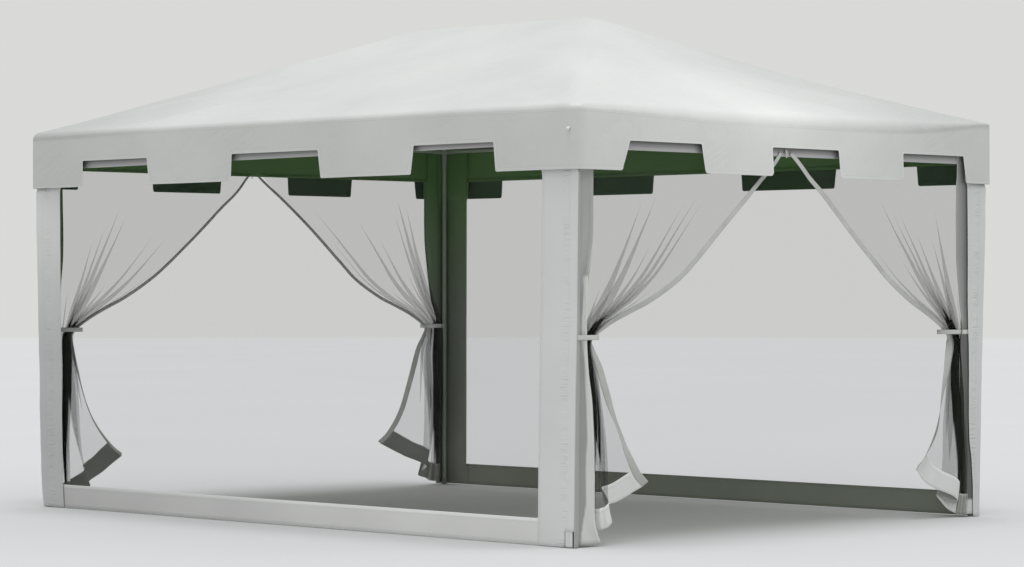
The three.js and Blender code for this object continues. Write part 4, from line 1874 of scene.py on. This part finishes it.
def make_connector(corner, hub, ends, ball, socket, button):
    """Four sockets welded to a ball, each with a spring button on its inner side."""
    inward = Vector((-hub.x, -hub.y, 0)).normalized()
    parts = [copied(ball, "ball", hub, (0, 0, 0))]
    for end in ends:
        way = (end - hub).normalized()
        parts.append(copied(socket, "socket", hub, upright_to(way)))
        button_way = (inward - way * inward.dot(way)).normalized()
        base = hub + way * (SOCKET_LENGTH - BUTTON_FROM_MOUTH) + button_way * (SOCKET_RADIUS - BUTTON_SINK)
        parts.append(copied(button, "button", base, upright_to(button_way)))
    connector = joined(f"connector_steel_{corner}", parts)
    finish(connector, POWDER_COAT, "steel_tube", f"corner_connector_{corner}")


def make_steel():
    post_model = model_post(math.hypot(EAVE_TUBE_HEIGHT, FOOT_RUN, FOOT_RUN))
    cap_model = turned("foot_cap", CAP_RINGS)
    ball = turned("ball", ball_rings(HUB_RADIUS, -HUB_RADIUS))
    socket = model_socket()
    button = turned("button", BUTTON_RINGS, 16)
    for corner, shape in CORNERS.items():
        x_end, y_end = shape["ends"]
        hub_x = x_end * (HALF_LENGTH - POST_INSET)
        hub_y = y_end * (HALF_WIDTH - POST_INSET)
        hub = Vector((hub_x, hub_y, EAVE_TUBE_HEIGHT))
        run = FRONT_RIGHT_FOOT_RUN if corner == "front_right" else FOOT_RUN
        foot = Vector((hub_x - x_end * run, hub_y - y_end * FOOT_RUN, FOOT_CLEARANCE))
        ridge = Vector((x_end * RIDGE_HALF, 0, RIDGE_TUBE_HEIGHT))
        beside = [hub + Vector((-x_end, 0, 0)), hub + Vector((0, -y_end, 0))]
        post = copied(post_model, f"post_steel_{corner}", foot, upright_to(hub - foot))
        finish(post, POWDER_COAT, "steel_tube", f"post_{corner}")
        cap = copied(cap_model, f"foot_cap_{corner}", foot, upright_to(hub - foot))
        finish(cap, GREY_PLASTIC, "steel_tube")
        make_connector(corner, hub, [foot, ridge, *beside], ball, socket, button)
    put_away(post_model, cap_model, ball, socket, button)


def finish_bare_tubes():
    """The CAD nodes that still show are the tubes under the cover."""
    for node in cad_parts.values():
        if not node.hide_render:
            node.data.materials.clear()
            node.data.materials.append(POWDER_COAT)


# Light, floor and camera

SKY_BLUE = (0.98, 0.993, 1.05)
SKY_STRENGTH = 0.7
SUN_STRENGTH = 1.62
SUN_SPREAD = 34
SUN_FROM = Vector((0.04, -0.03, 1))
# The lamp that lights the near right eave, and the spot that it is turned to
LAMP_SIZE = 0.8
LAMP_WATTS = 7.5
LAMP_PLACE = Vector((3.15, -0.05, 2.85))
LAMP_TARGET = Vector((1.9, -0.1, 1.93))
CAMERA_PLACE = (11.888, -11.68, 1.144)
CAMERA_TILT = 90.102
CAMERA_TURN = 45.305
CAMERA_LENS = 113.58
FLOOR_DEPTH = 0.001
FLOOR_RADIUS = 60


def soft_light(name, size, watts, place, target):
    light = bpy.data.lights.new(name, "AREA")
    light.shape = "DISK"
    light.size = size
    light.energy = watts
    lamp = bpy.data.objects.new(name, light)
    bpy.context.scene.collection.objects.link(lamp)
    lamp.location = place
    lamp.rotation_euler = (target - place).to_track_quat("-Z", "Y").to_euler()


def broad_light(name, strength, spread, direction):
    """Even light from afar, as from one side of a bright sky."""
    light = bpy.data.lights.new(name, "SUN")
    light.energy = strength
    light.color = SKY_BLUE
    light.angle = math.radians(spread)
    lamp = bpy.data.objects.new(name, light)
    bpy.context.scene.collection.objects.link(lamp)
    lamp.rotation_euler = direction.to_track_quat("Z", "Y").to_euler()


def set_light():
    soft_light("near_right", LAMP_SIZE, LAMP_WATTS, LAMP_PLACE, LAMP_TARGET)
    world = bpy.data.worlds.new("studio")
    bpy.context.scene.world = world
    world.use_nodes = True
    sky = world.node_tree.nodes["Background"]
    sky.inputs["Color"].default_value = (0.995, 1, 0.975, 1)
    sky.inputs["Strength"].default_value = SKY_STRENGTH
    broad_light("key", SUN_STRENGTH, SUN_SPREAD, SUN_FROM)


def set_floor():
    bpy.ops.object.select_all(action="DESELECT")
    start = (0, 0, -FLOOR_DEPTH)
    bpy.ops.mesh.primitive_circle_add(vertices=96, radius=FLOOR_RADIUS, fill_type="NGON", location=start)
    floor = bpy.context.object
    floor.name = "floor"
    material, tree, shader = new_material("floor_pale", 0.9, 0.0)
    colour = mottled(tree, 3, 2.0, (0.598, 0.598, 0.598), (0.61, 0.61, 0.61))
    tree.links.new(colour, shader.inputs["Base Color"])
    floor.data.materials.append(material)


def set_camera():
    camera = bpy.data.cameras.new("camera")
    camera.sensor_width = 36
    camera.lens = CAMERA_LENS
    view = bpy.data.objects.new("camera", camera)
    bpy.context.scene.collection.objects.link(view)
    view.location = CAMERA_PLACE
    view.rotation_euler = (math.radians(CAMERA_TILT), 0, math.radians(CAMERA_TURN))
    bpy.context.scene.camera = view


bpy.context.scene.view_settings.view_transform = "Standard"
set_camera()
set_light()
set_floor()
make_cover()
make_walls()
make_sleeves()
make_sleeve_tab()
make_curtains()
make_eyelets()
make_zip_sliders()
make_steel()
finish_bare_tubes()
